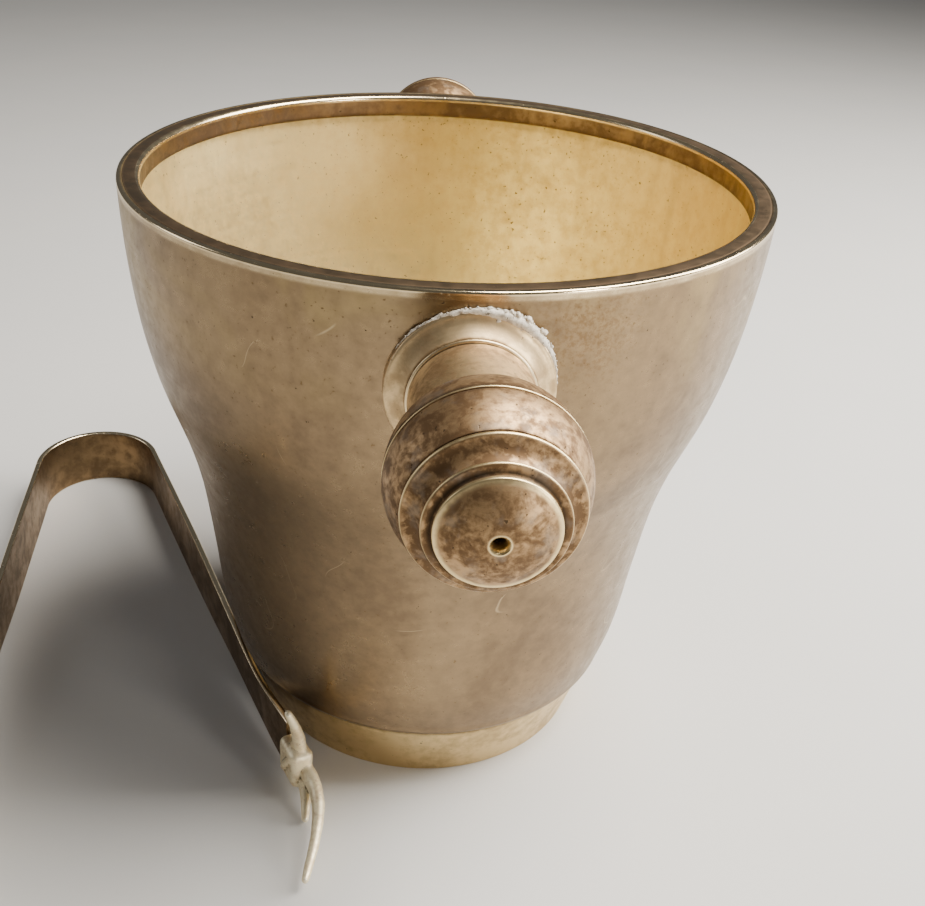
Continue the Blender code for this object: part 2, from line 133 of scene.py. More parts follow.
# %% Wires and graphs
class Wire:
    """What comes out of a node."""

    def __init__(self, graph, socket):
        self.graph = graph
        self.socket = socket

    def maths(self, operation, first, second):
        return self.graph.node("ShaderNodeMath", {"operation": operation}, {0: first, 1: second})

    def __add__(self, other):
        return self.maths("ADD", self, other)

    __radd__ = __add__

    def __sub__(self, other):
        return self.maths("SUBTRACT", self, other)

    def __rsub__(self, other):
        return self.maths("SUBTRACT", other, self)

    def __mul__(self, other):
        return self.maths("MULTIPLY", self, other)

    __rmul__ = __mul__

    def __truediv__(self, other):
        return self.maths("DIVIDE", self, other)

    def __rtruediv__(self, other):
        return self.maths("DIVIDE", other, self)

    def __abs__(self):
        return self.graph.node("ShaderNodeMath", {"operation": "ABSOLUTE"}, {0: self})

    def smallest(self, other):
        return self.maths("MINIMUM", self, other)

    def largest(self, other):
        return self.maths("MAXIMUM", self, other)

    def rises(self, low, high):
        """0 below low and 1 above high, with a smooth rise between them."""
        values = {"Value": self, "From Min": low, "From Max": high}
        settings = {"interpolation_type": "SMOOTHSTEP", "clamp": True}
        return self.graph.node("ShaderNodeMapRange", settings, values)


class Graph:
    """A node tree, and the one way in which nodes are added to it."""

    def __init__(self, tree):
        self.tree = tree

    def node(self, kind, settings=None, values=None, output=0):
        made = self.tree.nodes.new(kind)
        for key, value in (settings or {}).items():
            setattr(made, key, value)
        for key, value in (values or {}).items():
            wires = [value] if isinstance(value, Wire) else value if isinstance(value, list) else []
            for wire in wires:
                self.tree.links.new(wire.socket, made.inputs[key])
            if not wires:
                made.inputs[key].default_value = value
        return Wire(self, made.outputs[output]) if made.outputs else None

    def here(self):
        return self.node("ShaderNodeTexCoord", output="Object")

    def vector(self, operation, first, key, second, output=0):
        settings = {"operation": operation}
        return self.node("ShaderNodeVectorMath", settings, {0: first, key: second}, output)

    def centred(self, centre, scale=(1.0, 1.0, 1.0)):
        """Object coordinates about a centre, then scaled."""
        values = {"Vector": self.vector("SUBTRACT", self.here(), 1, centre), "Scale": scale}
        return self.node("ShaderNodeMapping", {"vector_type": "POINT"}, values)

    def height(self):
        return self.node("ShaderNodeSeparateXYZ", None, {0: self.here()}, 2)

    def noise(self, where, size, detail=3.0, rough=0.55, warp=0.0):
        """Cloudy noise from 0 to 1 whose features are about size across."""
        values = {"Vector": where, "Scale": 1.0 / size, "Detail": detail, "Roughness": rough}
        values["Distortion"] = warp
        return self.node("ShaderNodeTexNoise", {"noise_dimensions": "3D"}, values)

    def rings(self, along, size):
        """Noise along an outline only, as a lathe's cutter leaves it."""
        values = {"W": along, "Scale": 1.0 / size, "Detail": 2.0, "Roughness": 0.6}
        return self.node("ShaderNodeTexNoise", {"noise_dimensions": "1D"}, values)

    def hairlines(self, where, size, width, share):
        """Thin winding lines, where a slow noise crosses its middle, kept in a share of the places."""
        slow = self.noise(where, size, 1.5, 0.5, 0.4)
        kept = self.noise(where, size * 0.45, 1.0).rises(0.62 - share * 0.3, 0.72 - share * 0.3)
        return (1.0 - abs(slow - 0.5) / width).largest(0.0) * kept

    def near(self, point, reach):
        """1 at a point, falling to 0 at reach."""
        return 1.0 - self.vector("DISTANCE", self.here(), 1, point, "Value").rises(0.0, reach)

    def painted(self, name):
        return self.node("ShaderNodeAttribute", {"attribute_name": name}, output="Fac")

    def mix(self, share, first, second):
        """A blend of two colours; share 0 gives the first."""
        first, second = (c if isinstance(c, Wire) else (*c, 1.0) for c in (first, second))
        return self.node("ShaderNodeMix", {"data_type": "RGBA"}, {0: share, 6: first, 7: second}, 2)

    def bump(self, height):
        """A normal from a height in millimetres."""
        return self.node("ShaderNodeBump", None, {"Strength": 1.0, "Distance": MM, "Height": height})

    def surface(self, colour, roughness, normal, metallic=1.0):
        values = {"Base Color": colour, "Roughness": roughness, "Normal": normal, "Metallic": metallic}
        shader = self.node("ShaderNodeBsdfPrincipled", None, values)
        self.node("ShaderNodeOutputMaterial", None, {"Surface": shader})


def new_finish(name):
    material = bpy.data.materials.new(name)
    material.use_nodes = True
    material.node_tree.nodes.clear()
    return material, Graph(material.node_tree)

# %% [markdown]
# ## Floor and light
#
# Metal shows what it reflects, so the light is most of the finish. A broad soft window stands to
# the right, a dimmer one fills from the left, and a third hangs over the mouth so that the inside
# glows. A narrow card low in front on the right draws upright highlights on the wall. The pale
# floor itself lights the underside of the knob.

# %% Floor and soft lights
FLOOR_SIZE = 8.0


def make_floor():
    bpy.ops.mesh.primitive_plane_add(size=FLOOR_SIZE, location=(0.0, 0.0, 0.0))
    floor = bpy.context.object
    floor.name = "studio_floor"
    paint, graph = new_finish("pale_floor")
    here = graph.centred((0.0, 0.0, 0.0))
    tone = graph.noise(here, 60 * MM, 2.0)
    colour = graph.mix(tone, (0.60, 0.59, 0.56), (0.64, 0.62, 0.59))
    graph.surface(colour, 0.9, graph.bump(graph.noise(here, 1.5 * MM, 2.0) * 0.02), 0.0)
    floor.data.materials.append(paint)


def make_softbox(name, place, size, watts, colour):
    """A rectangular lamp aimed at the middle of the bucket."""
    data = bpy.data.lights.new(name, "AREA")
    data.shape = "RECTANGLE"
    data.size, data.size_y = size
    data.energy = watts
    data.color = colour
    lamp = bpy.data.objects.new(name, data)
    lamp.location = place
    aim = AXIS + Vector((0.0, 0.0, HEIGHT / 2)) - Vector(place)
    lamp.rotation_euler = aim.to_track_quat("-Z", "Y").to_euler()
    bpy.context.scene.collection.objects.link(lamp)


def make_world(colour, strength):
    world = bpy.data.worlds.new("studio")
    world.use_nodes = True
    background = world.node_tree.nodes["Background"]
    background.inputs["Color"].default_value = (*colour, 1.0)
    background.inputs["Strength"].default_value = strength
    bpy.context.scene.world = world


make_floor()
make_world((0.95, 0.97, 1.0), 0.10)
make_softbox("window", (0.80, 0.10, 0.50), (0.45, 0.60), 13.0, (1.0, 0.97, 0.92))
make_softbox("overhead", (0.34, 0.02, 0.76), (0.40, 0.45), 15.0, (1.0, 0.96, 0.90))
make_softbox("right_card", (0.50, -0.55, 0.20), (0.12, 0.26), 2.2, (1.0, 0.96, 0.90))
make_softbox("left_fill", (-0.80, 0.15, 0.40), (0.3, 0.5), 1.0, (0.97, 0.97, 1.0))

# %% [markdown]
# ## Aged brass
#
# Old brass is never one colour. Where hands and cloths reach, it stays golden; elsewhere a
# grey-brown skin forms, thicker in grooves; small pits go almost black; and edges are rubbed
# bright. All the finishes here share these layers and differ in their colours and amounts. Two
# values painted along each outline say where the edges and the grooves are: the first brightens
# edges, for wear and also as painted highlights, and the second darkens grooves and crevices, for
# dirt and also as painted shade.

# %% The shared brass layers
BRIGHT_BRASS = (0.90, 0.72, 0.44)
PIT_AND_SHADE_COLOUR = (0.045, 0.032, 0.02)


class Brass:
    """Colour, roughness and height of worn brass, made layer by layer."""

    def __init__(self, name, centre, mottle_size=3.2 * MM):
        self.material, self.graph = new_finish(name)
        self.here = self.graph.centred(centre)
        self.rub = self.graph.painted("rub")
        self.grime = self.graph.painted("grime")
        self.mottle = self.graph.noise(self.here, mottle_size, 4.0, 0.65)
        self.grain = self.graph.noise(self.here, 0.5 * MM, 2.0, 0.6)
        self.metallic = 1.0

    def skin(self, clean, dark, cover, size, shine, soft=0.11):
        """A skin of dark patches over clean metal; cover is about the share it hides."""
        patches = self.graph.noise(self.here, size, 4.0, 0.6, 0.8)
        blend = patches * 0.62 + self.mottle * 0.38
        middle = 0.5 + (0.5 - cover) * 0.30
        self.patches = patches
        # The groove value thickens the skin as well: dirt, and painted shade in grooves and crevices.
        self.skinned = (blend.rises(middle - soft, middle + soft) + self.grime * 0.6).smallest(1.0)
        self.skinned = self.skinned * (1.0 - self.rub * 0.8)
        self.colour = self.graph.mix(self.skinned, clean, dark)
        self.roughness = shine + self.skinned * 0.12 + (self.mottle - 0.5) * 0.18 + self.grime * 0.2
        self.height = self.mottle * 0.012 + self.grain * 0.004

    def tint(self, share, colour, rougher=0.0):
        self.colour = self.graph.mix(share, self.colour, colour)
        if rougher:
            self.roughness = self.roughness + share * rougher

    def specks(self, size, share, colour=PIT_AND_SHADE_COLOUR, depth=0.02):
        low = 0.74 - share * 0.12
        spots = self.graph.noise(self.here, size, 2.0, 0.5).rises(low, low + 0.07)
        self.tint(spots * 0.8, colour, 0.15)
        self.height = self.height - spots * depth

    def scratches(self, size, share, lift=0.5, width=0.010):
        lines = self.graph.hairlines(self.here, size, width, share)
        self.tint(lines * lift, BRIGHT_BRASS, -0.1)
        self.height = self.height - lines * 0.008

    def turned(self, size, depth=0.006):
        """Fine rings that a cutter or a polishing cloth left on a spinning piece."""
        marks = self.graph.rings(self.graph.painted("along"), size)
        self.height = self.height + marks * depth
        self.roughness = self.roughness + (marks - 0.5) * 0.08

    def wear_and_painted_light(self, bright=BRIGHT_BRASS):
        """Dirt and painted shade in the grooves, wear and painted highlights on the edges, all mottled."""
        # Dark tint in grooves and crevices: dirt, and painted shade.
        self.tint((self.grime * (0.55 + self.mottle * 0.6)).rises(0.15, 0.95) * 0.85, PIT_AND_SHADE_COLOUR)
        # Bright tint on edges: wear, and painted highlights.
        rubbed_and_lit = (self.rub * (0.45 + self.mottle * 0.95)).rises(0.22, 0.8)
        self.tint(rubbed_and_lit, bright, -0.14)

    def done(self):
        graph = self.graph
        graph.surface(self.colour, self.roughness.largest(0.14), graph.bump(self.height), self.metallic)
        return self.material

# %% [markdown]
# ## Turning a profile
#
# The bucket, its rings, the rosettes and the knobs are all turned or spun, so each is an outline
# swept round an axis. A small lathe function builds the rings of faces directly, because a modifier
# couldn't carry the painted values: every outline point says how bright its edge and how dark its
# groove are painted, for wear and dirt and also as painted highlight and shade, and the lathe adds
# how far along the outline it lies.

# %% The lathe
def arc(centre, radius, start, end, steps):
    """Points on a circle in the (radius, height) plane, angles in degrees."""
    angles = [math.radians(start + (end - start) * i / steps) for i in range(steps + 1)]
    return [(centre[0] + radius * math.cos(a), centre[1] + radius * math.sin(a)) for a in angles]


def marked(points, **marks):
    """Outline points that share their painted values."""
    return [(radius, height, marks) for radius, height in points]


def add_piece(name, mesh, material):
    mesh.materials.clear()
    mesh.materials.append(material)
    piece = bpy.data.objects.new(name, mesh)
    bpy.context.scene.collection.objects.link(piece)
    return piece


def stand_for(piece, body, slot, *nodes):
    """The piece rides on a body and is shown in place of CAD nodes."""
    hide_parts(*nodes)
    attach(piece, body)
    print(piece.name, "has", len(piece.data.polygons), "faces")


def lathe(name, outline, steps, place, material, closed=False, sharp=35.0):
    """Turn an outline about local Z and put it in the frame by place."""
    shape = bmesh.new()
    layers = {key: shape.verts.layers.float.new(key) for key in ("rub", "grime", "inside", "along")}
    rings = []
    along = 0.0
    before = outline[0]
    for point in outline:
        radius, height, marks = point
        along += math.hypot(radius - before[0], height - before[1])
        before = point
        ring = []
        for i in range(1 if radius < 1e-6 else steps):
            angle = 2 * math.pi * i / steps
            vertex = shape.verts.new((radius * math.cos(angle), radius * math.sin(angle), height))
            for key, value in marks.items():
                vertex[layers[key]] = value
            vertex[layers["along"]] = along
            ring.append(vertex)
        rings.append(ring)
    pairs = list(zip(rings, rings[1:]))
    if closed:
        pairs.append((rings[-1], rings[0]))
    for upper, lower in pairs:
        for i in range(steps):
            j = (i + 1) % steps
            corners = [ring[k % len(ring)] for ring, k in ((upper, i), (lower, i), (lower, j), (upper, j))]
            corners = [c for k, c in enumerate(corners) if c not in corners[:k]]
            if len(corners) > 2:
                shape.faces.new(corners)
    bmesh.ops.recalc_face_normals(shape, faces=shape.faces)
    mesh = bpy.data.meshes.new(name)
    shape.to_mesh(mesh)
    shape.free()
    mesh.transform(place)
    mesh.shade_smooth()
    mesh.set_sharp_from_angle(angle=math.radians(sharp))
    return add_piece(name, mesh, material)

# %% [markdown]
# ## The bucket's shell
#
# A spinner presses a disc of sheet brass over a former, so the wall has one thickness and one
# smooth curve: nearly upright above the base, then flaring to the rim. The curve is the CAD
# part's, so the two walls coincide.

# %% Wall curve
BASE_RADIUS = 48.8 * MM
WALL = 1.2 * MM
FLOOR = 1.6 * MM
BASE_ROUND = 2.2 * MM
EDGE_ROUND = 0.5 * MM
RIM_SLOPE_SHARE = 0.25
BODY_CURVE = (
    (0.0, 0.0), (0.1, 0.14), (0.25, 0.24), (0.4, 0.355), (0.5, 0.49), (0.65, 0.765), (0.8, 0.925), (1.0, 1.0))


def flare_share(t):
    """Smooth curve through BODY_CURVE, by cubic Hermite pieces with averaged slopes."""
    knots = BODY_CURVE
    last = len(knots) - 1
    slopes = []
    for i in range(last + 1):
        before, after = knots[max(i - 1, 0)], knots[min(i + 1, last)]
        slopes.append((after[1] - before[1]) / (after[0] - before[0]))
    slopes[-1] *= RIM_SLOPE_SHARE
    i = max(k for k in range(last) if k == 0 or t >= knots[k][0])
    span = knots[i + 1][0] - knots[i][0]
    u = (t - knots[i][0]) / span
    ease = 3 * u ** 2 - 2 * u ** 3
    between = (1.0 - ease) * knots[i][1] + ease * knots[i + 1][1]
    leave = (u ** 3 - 2 * u ** 2 + u) * slopes[i]
    arrive = (u ** 3 - u ** 2) * slopes[i + 1]
    return between + span * (leave + arrive)


def wall_radius(z):
    return BASE_RADIUS + (RIM_RADIUS - BASE_RADIUS) * flare_share((z - BODY_BOTTOM) / (HEIGHT - BODY_BOTTOM))


def wall_line(offset, start, end, steps):
    heights = [start + (end - start) * i / steps for i in range(steps + 1)]
    return [(wall_radius(z) + offset, z) for z in heights]


def wall_error():
    """Largest distance from the CAD wall's outer points to the curve, without its rounded edges."""
    worst = 0.0
    for vertex in frame["nodes"]["bucket_body"].data.vertices:
        across = (vertex.co - AXIS).xy.length
        on_wall = BODY_BOTTOM + 2 * BASE_ROUND < vertex.co.z < HEIGHT - EDGE_ROUND / 2
        if on_wall and across > wall_radius(vertex.co.z) - WALL / 2:
            worst = max(worst, abs(across - wall_radius(vertex.co.z)))
    return worst


print("wall curve is within", round(wall_error() / MM, 3), "mm of the CAD wall")

# %% [markdown]
# The shell's outline runs from the middle of the inner floor up the inside, over the top edge and
# down the outside. The crevice under the rim ring and the one above the foot are painted dark as
# painted shade, and the outer edge of the rim bright, for wear and as a painted highlight.

# %% Shell
RIM_BAND_HEIGHT = 5.2 * MM
RIM_BAND_THICK = 3.2 * MM
GAP = 0.3 * MM
ROUND_STEPS = 160


def shell_outline():
    floor_top = BODY_BOTTOM + FLOOR
    inner_round = 2 * BASE_ROUND
    corner_z = floor_top + inner_round
    corner = (wall_radius(corner_z) - WALL - inner_round, corner_z)
    band_bottom = HEIGHT - RIM_BAND_HEIGHT
    outline = marked([(0.0, floor_top), (corner[0] / 2, floor_top)], inside=1.0)
    # The inside floor's corner is darkened a little.
    outline += marked(arc(corner, inner_round, -90.0, 0.0, 10), inside=1.0, grime=0.15)
    outline += marked(wall_line(-WALL, corner_z, band_bottom - 4 * MM, 44)[1:], inside=1.0)
    # Just under and behind the rim ring the wall is painted dark: painted shade in the crevice.
    outline += marked(wall_line(-WALL, band_bottom - 2 * MM, band_bottom - 1 * MM, 2), inside=1.0, grime=0.4)
    outline += marked(wall_line(-WALL, band_bottom - 0.4 * MM, HEIGHT - 0.6 * MM, 4), inside=0.6, grime=0.95)
    outline += marked([(RIM_RADIUS - WALL, HEIGHT - 0.1 * MM)], grime=0.6)
    outline += marked([(RIM_RADIUS - WALL + 0.15 * MM, HEIGHT)], rub=0.25)
    top = (RIM_RADIUS - EDGE_ROUND, HEIGHT - EDGE_ROUND)
    # The rim's rounded outer edge and just below it are painted bright: wear, and a painted highlight.
    outline += marked(arc(top, EDGE_ROUND, 90.0, 0.0, 6), rub=1.0)
    outline += marked(wall_line(0.0, top[1] - 0.3 * MM, top[1] - 0.9 * MM, 2), rub=0.5)
    outline += marked(wall_line(0.0, top[1] - 2.0 * MM, BODY_BOTTOM + BASE_ROUND + 1.5 * MM, 60))
    corner = (wall_radius(BODY_BOTTOM + BASE_ROUND) - BASE_ROUND, BODY_BOTTOM + BASE_ROUND)
    outline += marked(arc(corner, BASE_ROUND, 0.0, -50.0, 6), rub=0.15)
    # The underside's corner above the foot is painted dark: painted shade in the crevice.
    outline += marked(arc(corner, BASE_ROUND, -60.0, -90.0, 3), grime=0.9)
    return outline + marked([(0.0, BODY_BOTTOM)], grime=0.3)

# %% [markdown]
# Outside, the wall is a quiet grey-brown with broad soft patches, lighter upright streaks that are
# painted reflections, a warmer zone under the rim and a cluster of brown spots beside the front
# handle. Inside it is golden, with upright streaks and fine dark specks. One material does both,
# mixed by the painted value "inside".

# %% The body's finish
STAIN_REACH = 20.0 * MM
STAIN_PLACE = AXIS + Vector((19.0 * MM, -66.0 * MM, HEIGHT - 8.0 * MM))


def body_finish():
    """Grey-brown outside, golden in the rubbed zone under the rim, and matt gold inside."""
    brass = Brass("body_brass", AXIS)
    graph = brass.graph
    brass.skin((0.315, 0.222, 0.125), (0.185, 0.130, 0.080), 0.55, 40 * MM, 0.27, 0.20)
    # Lighter, smoother upright streaks on the outside: painted reflections.
    reflection_streaks = graph.noise(graph.centred(AXIS, (1.0, 1.0, 0.18)), 16 * MM, 2.0, 0.5)
    brass.tint(reflection_streaks.rises(0.45, 0.8) * 0.30, (0.41, 0.30, 0.175), -0.05)
    golden = graph.height().rises(HEIGHT - 34 * MM, HEIGHT - 3 * MM) * brass.patches.rises(0.40, 0.62)
    brass.tint(golden * 0.55, (0.50, 0.365, 0.16))
    brass.specks(1.0 * MM, 0.2)
    brass.scratches(30 * MM, 0.15, 0.30, 0.003)
    stained = graph.near(STAIN_PLACE, STAIN_REACH)
    dirt = stained * (graph.noise(brass.here, 0.9 * MM, 4.0, 0.75) + stained * 0.12).rises(0.52, 0.72)
    brass.tint(dirt * 0.75, (0.20, 0.12, 0.055), 0.15)
    dents = graph.noise(brass.here, 30 * MM, 1.0, 0.4)
    brass.height = brass.height + dents * 0.35
    inside = graph.painted("inside")
    brushed = graph.noise(graph.centred(AXIS, (1.0, 1.0, 0.12)), 9 * MM, 3.0, 0.6)
    gold = graph.mix(brass.mottle.rises(0.3, 0.8), (0.93, 0.79, 0.42), (0.84, 0.67, 0.31))
    stains = graph.noise(brass.here, 20 * MM, 3.0, 0.6).rises(0.50, 0.75) * 0.35
    gold = graph.mix(stains, gold, (0.66, 0.49, 0.20))
    gold = graph.mix(brushed.rises(0.45, 0.75) * 0.35, gold, (0.60, 0.44, 0.18))
    brass.tint(inside, gold)
    brass.specks(0.8 * MM, 0.5, (0.20, 0.13, 0.06))
    brass.roughness = brass.roughness + inside * 0.13
    brass.metallic = 1.0 - inside * 0.1
    brass.turned(1.4 * MM, 0.003)
    brass.wear_and_painted_light()
    return brass.done()


upright = Matrix.Translation(AXIS)
shell = lathe("bucket_shell", shell_outline(), ROUND_STEPS, upright, body_finish())
stand_for(shell, "bucket", "body_brass", "bucket_body")

# %% [markdown]
# ## Rim ring and foot ring
#
# A bar bent into a hoop stiffens the mouth. It is soldered inside the wall with its top flush. Its
# edges are painted bright, for wear and as painted highlights, and the line under it is painted
# dark as painted shade. The foot is a band of the same brass, painted lighter than the body as a
# painted reflection of the bright floor.

# %% Rings
def rim_outline():
    inner = RIM_RADIUS - WALL - GAP - RIM_BAND_THICK
    outer = RIM_RADIUS - WALL - 0.02 * MM
    bottom = HEIGHT - RIM_BAND_HEIGHT
    low = 0.6 * MM
    outline = marked([(inner, HEIGHT - 1.6 * MM)])
    # The inner top edge is painted bright: wear, and a painted highlight.
    outline += marked(arc((inner + 0.9 * MM, HEIGHT - 0.9 * MM), 0.9 * MM, 180.0, 110.0, 6), rub=0.9)
    outline += marked([(inner + 0.9 * MM, HEIGHT), (inner + 1.6 * MM, HEIGHT)], rub=0.25)
    outline += marked([(outer - 0.4 * MM, HEIGHT)], rub=0.15)
    outline += marked([(outer, HEIGHT - 0.05 * MM)], grime=0.6)
    back = wall_radius(bottom) - WALL - 0.02 * MM
    # The ring's back and underside, in the crevice against the wall, are painted dark as painted shade.
    outline += marked([(outer, HEIGHT - 1.0 * MM), (back, bottom)], grime=1.0)
    outline += marked(arc((inner + low, bottom + low), low, -90.0, -180.0, 4), grime=0.5)
    return outline + marked([(inner, bottom + 1.3 * MM)], grime=0.15)


FOOT_TAPER = 4.6 * MM
FOOT_WALL = 2.2 * MM
FOOT_EDGE = 0.5 * MM


def foot_outline():
    low_radius = FOOT_TOP_RADIUS - FOOT_TAPER
    # The foot's top, in the crevice under the body, is painted dark as painted shade.
    outline = marked([(FOOT_TOP_RADIUS - FOOT_WALL, FOOT_HEIGHT)], grime=1.0)
    steps = 16
    for i in range(steps + 1):
        t = i / steps
        point = (FOOT_TOP_RADIUS - FOOT_TAPER * t, FOOT_HEIGHT - (FOOT_HEIGHT - FOOT_EDGE) * t)
        outline += marked([point], grime=max(0.0, 1.0 - 7.0 * t))
    outline += marked(arc((low_radius - FOOT_EDGE, FOOT_EDGE), FOOT_EDGE, -10.0, -90.0, 4), rub=0.6)
    outline += marked([(low_radius - FOOT_WALL + FOOT_EDGE, 0.0)], grime=0.4)
    inner = (low_radius - FOOT_WALL + FOOT_EDGE, FOOT_EDGE)
    return outline + marked(arc(inner, FOOT_EDGE, -100.0, -170.0, 3), grime=0.4)


def rim_finish():
    brass = Brass("rim_brass", AXIS)
    brass.skin((0.27, 0.19, 0.112), (0.15, 0.10, 0.06), 0.55, 12 * MM, 0.34)
    brass.specks(1.1 * MM, 0.3)
    brass.wear_and_painted_light()
    return brass.done()


def foot_finish():
    brass = Brass("foot_brass", AXIS)
    # The foot's brass is lighter than the body's: a painted reflection of the bright floor.
    brass.skin((0.72, 0.54, 0.27), (0.46, 0.33, 0.155), 0.35, 20 * MM, 0.33)
    brass.specks(1.2 * MM, 0.2)
    brass.turned(0.8 * MM)
    brass.wear_and_painted_light()
    return brass.done()


rim = lathe("rim_band", rim_outline(), ROUND_STEPS, upright, rim_finish(), closed=True)
stand_for(rim, "bucket", "rim_brass", "rim_ring")
foot = lathe("foot_band", foot_outline(), ROUND_STEPS, upright, foot_finish(), closed=True)
stand_for(foot, "bucket", "foot_brass", "foot_ring")

# %% [markdown]
# ## The handles
#
# Each handle is a lathe job in two pieces. The rosette is a disc with a hollow slope, a small bead
# and a short neck, soldered to the wall. The knob is a ball with a thin line round its middle, two
# beads with a hollow between them, and a domed end that still shows the lathe's centre mark. The
# hollows and grooves are painted dark, for patina and as painted shade, and the beads' crests
# bright, for wear and as painted highlights.

# %% Handle sizes
KNOB_RADIUS = 16.0 * MM
NECK_RADIUS = 11.1 * MM
STEP_WIDTH = 2.7 * MM
STEP_HEIGHT = 3.0 * MM
ROSETTE_LEDGE = 1.2 * MM
ROSETTE_RADIUS = NECK_RADIUS + STEP_WIDTH + ROSETTE_LEDGE
ROSETTE_FACE = wall_radius(HANDLE_HEIGHT) + 1.8 * MM
COLLAR_RADIUS = NECK_RADIUS + 0.3 * MM
BALL_CENTRE = KNOB_BACK + 0.5 * MM + math.sqrt(KNOB_RADIUS ** 2 - COLLAR_RADIUS ** 2)
RIDGE_RADIUS = KNOB_RADIUS - 2.3 * MM
RIDGE_AT = BALL_CENTRE + math.sqrt(KNOB_RADIUS ** 2 - RIDGE_RADIUS ** 2) + 1.135 * MM
SECOND_RADIUS = RIDGE_RADIUS - 2.8 * MM
SECOND_AT = RIDGE_AT + 3.3 * MM
END_RADIUS = SECOND_RADIUS - 1.6 * MM
END_DOME = 3.0 * MM
END_AT = KNOB_FRONT - END_DOME
HOLE_RADIUS = 1.05 * MM
HOLE_CHAMFER = 0.5 * MM
STUD_RADIUS = 3.4 * MM
BORE_DEPTH = 9.9 * MM
ROSETTE_DEPTH = 11.25 * MM
REAR_TURN = 3.0
TURN_STEPS = 112
EQUATOR_STEP = 0.15 * MM


def handle_place(heading):
    """Local Z along a handle's own axis; heading is its direction in plan, in degrees."""
    turn = Matrix.Rotation(math.radians(heading + 90.0), 4, "Z") @ Matrix.Rotation(math.radians(90.0), 4, "X")
    return Matrix.Translation(AXIS + Vector((0.0, 0.0, HANDLE_HEIGHT))) @ turn


def bead(radius, at, half, rub):
    """A rounded raised line, painted brightest along its crest, for wear and as a painted highlight."""
    outline = []
    for point in arc((radius - half, at), half, 100.0, -100.0, 12):
        crest = max(0.0, (point[0] - radius + half) / half)
        outline += marked([point], rub=rub * crest ** 2)
    return outline


def hollow(front, back, depth, steps=8):
    """A concave cove from one edge to the next, painted darkest in the middle, for dirt and painted shade."""
    front, back = Vector(front[:2]), Vector(back[:2])
    inward = Vector((-abs((back - front).y), -abs((back - front).x))).normalized()
    outline = []
    for i in range(1, steps):
        dip = math.sin(math.pi * i / steps)
        point = front.lerp(back, i / steps) + inward * depth * dip
        outline += marked([tuple(point)], grime=0.15 + 0.2 * dip)
    return outline

# %% [markdown]
# The knob is one outline from the centre hole to the bore: the domed end, two beads with a cove
# between them, the front of the ball, the thin line round its middle and the back of the ball.

# %% Knob outline
def end_outline():
    """The domed end, from the centre hole to its worn edge."""
    mouth = HOLE_RADIUS + HOLE_CHAMFER
    # The hole's bottom is painted dark as painted shade, and its wall bright as a painted highlight.
    outline = marked([(0.0, KNOB_FRONT - 4.0 * MM), (HOLE_RADIUS, KNOB_FRONT - 3.9 * MM)], grime=1.0)
    outline += marked([(HOLE_RADIUS, KNOB_FRONT - 2.2 * HOLE_CHAMFER)], rub=0.9)
    outline += marked([(HOLE_RADIUS + 0.1 * MM, KNOB_FRONT - HOLE_CHAMFER)], rub=1.0)
    steps = 16
    for i in range(steps + 1):
        radius = mouth + (END_RADIUS - 0.4 * MM - mouth) * i / steps
        height = END_AT + END_DOME * (1.0 - (radius / END_RADIUS) ** 2)
        rub = 1.0 if i == 0 else max(0.0, (i / steps - 0.86) * 5.0)
        outline += marked([(radius, height)], rub=rub)
    outline += marked(arc((END_RADIUS - 0.35 * MM, END_AT - 0.1 * MM), 0.35 * MM, 60.0, 0.0, 4), rub=0.9)
    return outline + marked([(END_RADIUS - 0.05 * MM, END_AT - 0.8 * MM)], grime=0.4)


def knob_outline():
    second = bead(SECOND_RADIUS, SECOND_AT, 0.42 * MM, 0.9)
    first = bead(RIDGE_RADIUS, RIDGE_AT, 0.48 * MM, 1.0)
    outline = end_outline() + marked([(second[0][0] - 0.9 * MM, second[0][1] + 0.1 * MM)], grime=0.9)
    outline += second + hollow(second[-1], first[0], 0.55 * MM) + first
    # The groove behind the first bead is painted dark, for patina and as painted shade.
    outline += marked([(first[-1][0] - 0.25 * MM, RIDGE_AT - 0.65 * MM)], grime=1.0)
    front = math.degrees(math.asin((RIDGE_AT - BALL_CENTRE - 0.85 * MM) / KNOB_RADIUS))
    ball = arc((0.0, BALL_CENTRE), KNOB_RADIUS, front, 2.4, 22)
    outline += marked(ball[:1], grime=0.6) + marked(ball[1:-1])
    # Dark grooves beside the thin middle line, for patina and painted shade; a painted highlight on it.
    outline += marked([(KNOB_RADIUS - 0.25 * MM, BALL_CENTRE + 0.42 * MM)], grime=1.0)
    outline += bead(KNOB_RADIUS - 0.05 * MM, BALL_CENTRE, 0.26 * MM, 1.0)
    outline += marked([(KNOB_RADIUS - 0.35 * MM, BALL_CENTRE - 0.42 * MM)], grime=1.0)
    back_radius = KNOB_RADIUS - EQUATOR_STEP
    collar_angle = -math.degrees(math.acos(COLLAR_RADIUS / back_radius))
    back = arc((0.0, BALL_CENTRE), back_radius, -2.6, collar_angle, 18)
    outline += marked(back[:1], grime=0.7) + marked(back[1:], grime=0.3)
    collar = [(COLLAR_RADIUS, KNOB_BACK + 0.3 * MM), (COLLAR_RADIUS - 0.3 * MM, KNOB_BACK)]
    bore_end = KNOB_BACK + BORE_DEPTH
    bore = [(STUD_RADIUS, KNOB_BACK), (STUD_RADIUS, bore_end), (0.0, bore_end)]
    return outline + marked(collar, grime=0.6) + marked(bore)

# %% [markdown]
# The rosette's outline starts in the bore, follows the neck, crosses the groove and the small bead
# at its foot, and runs down the hollow slope to the edge.

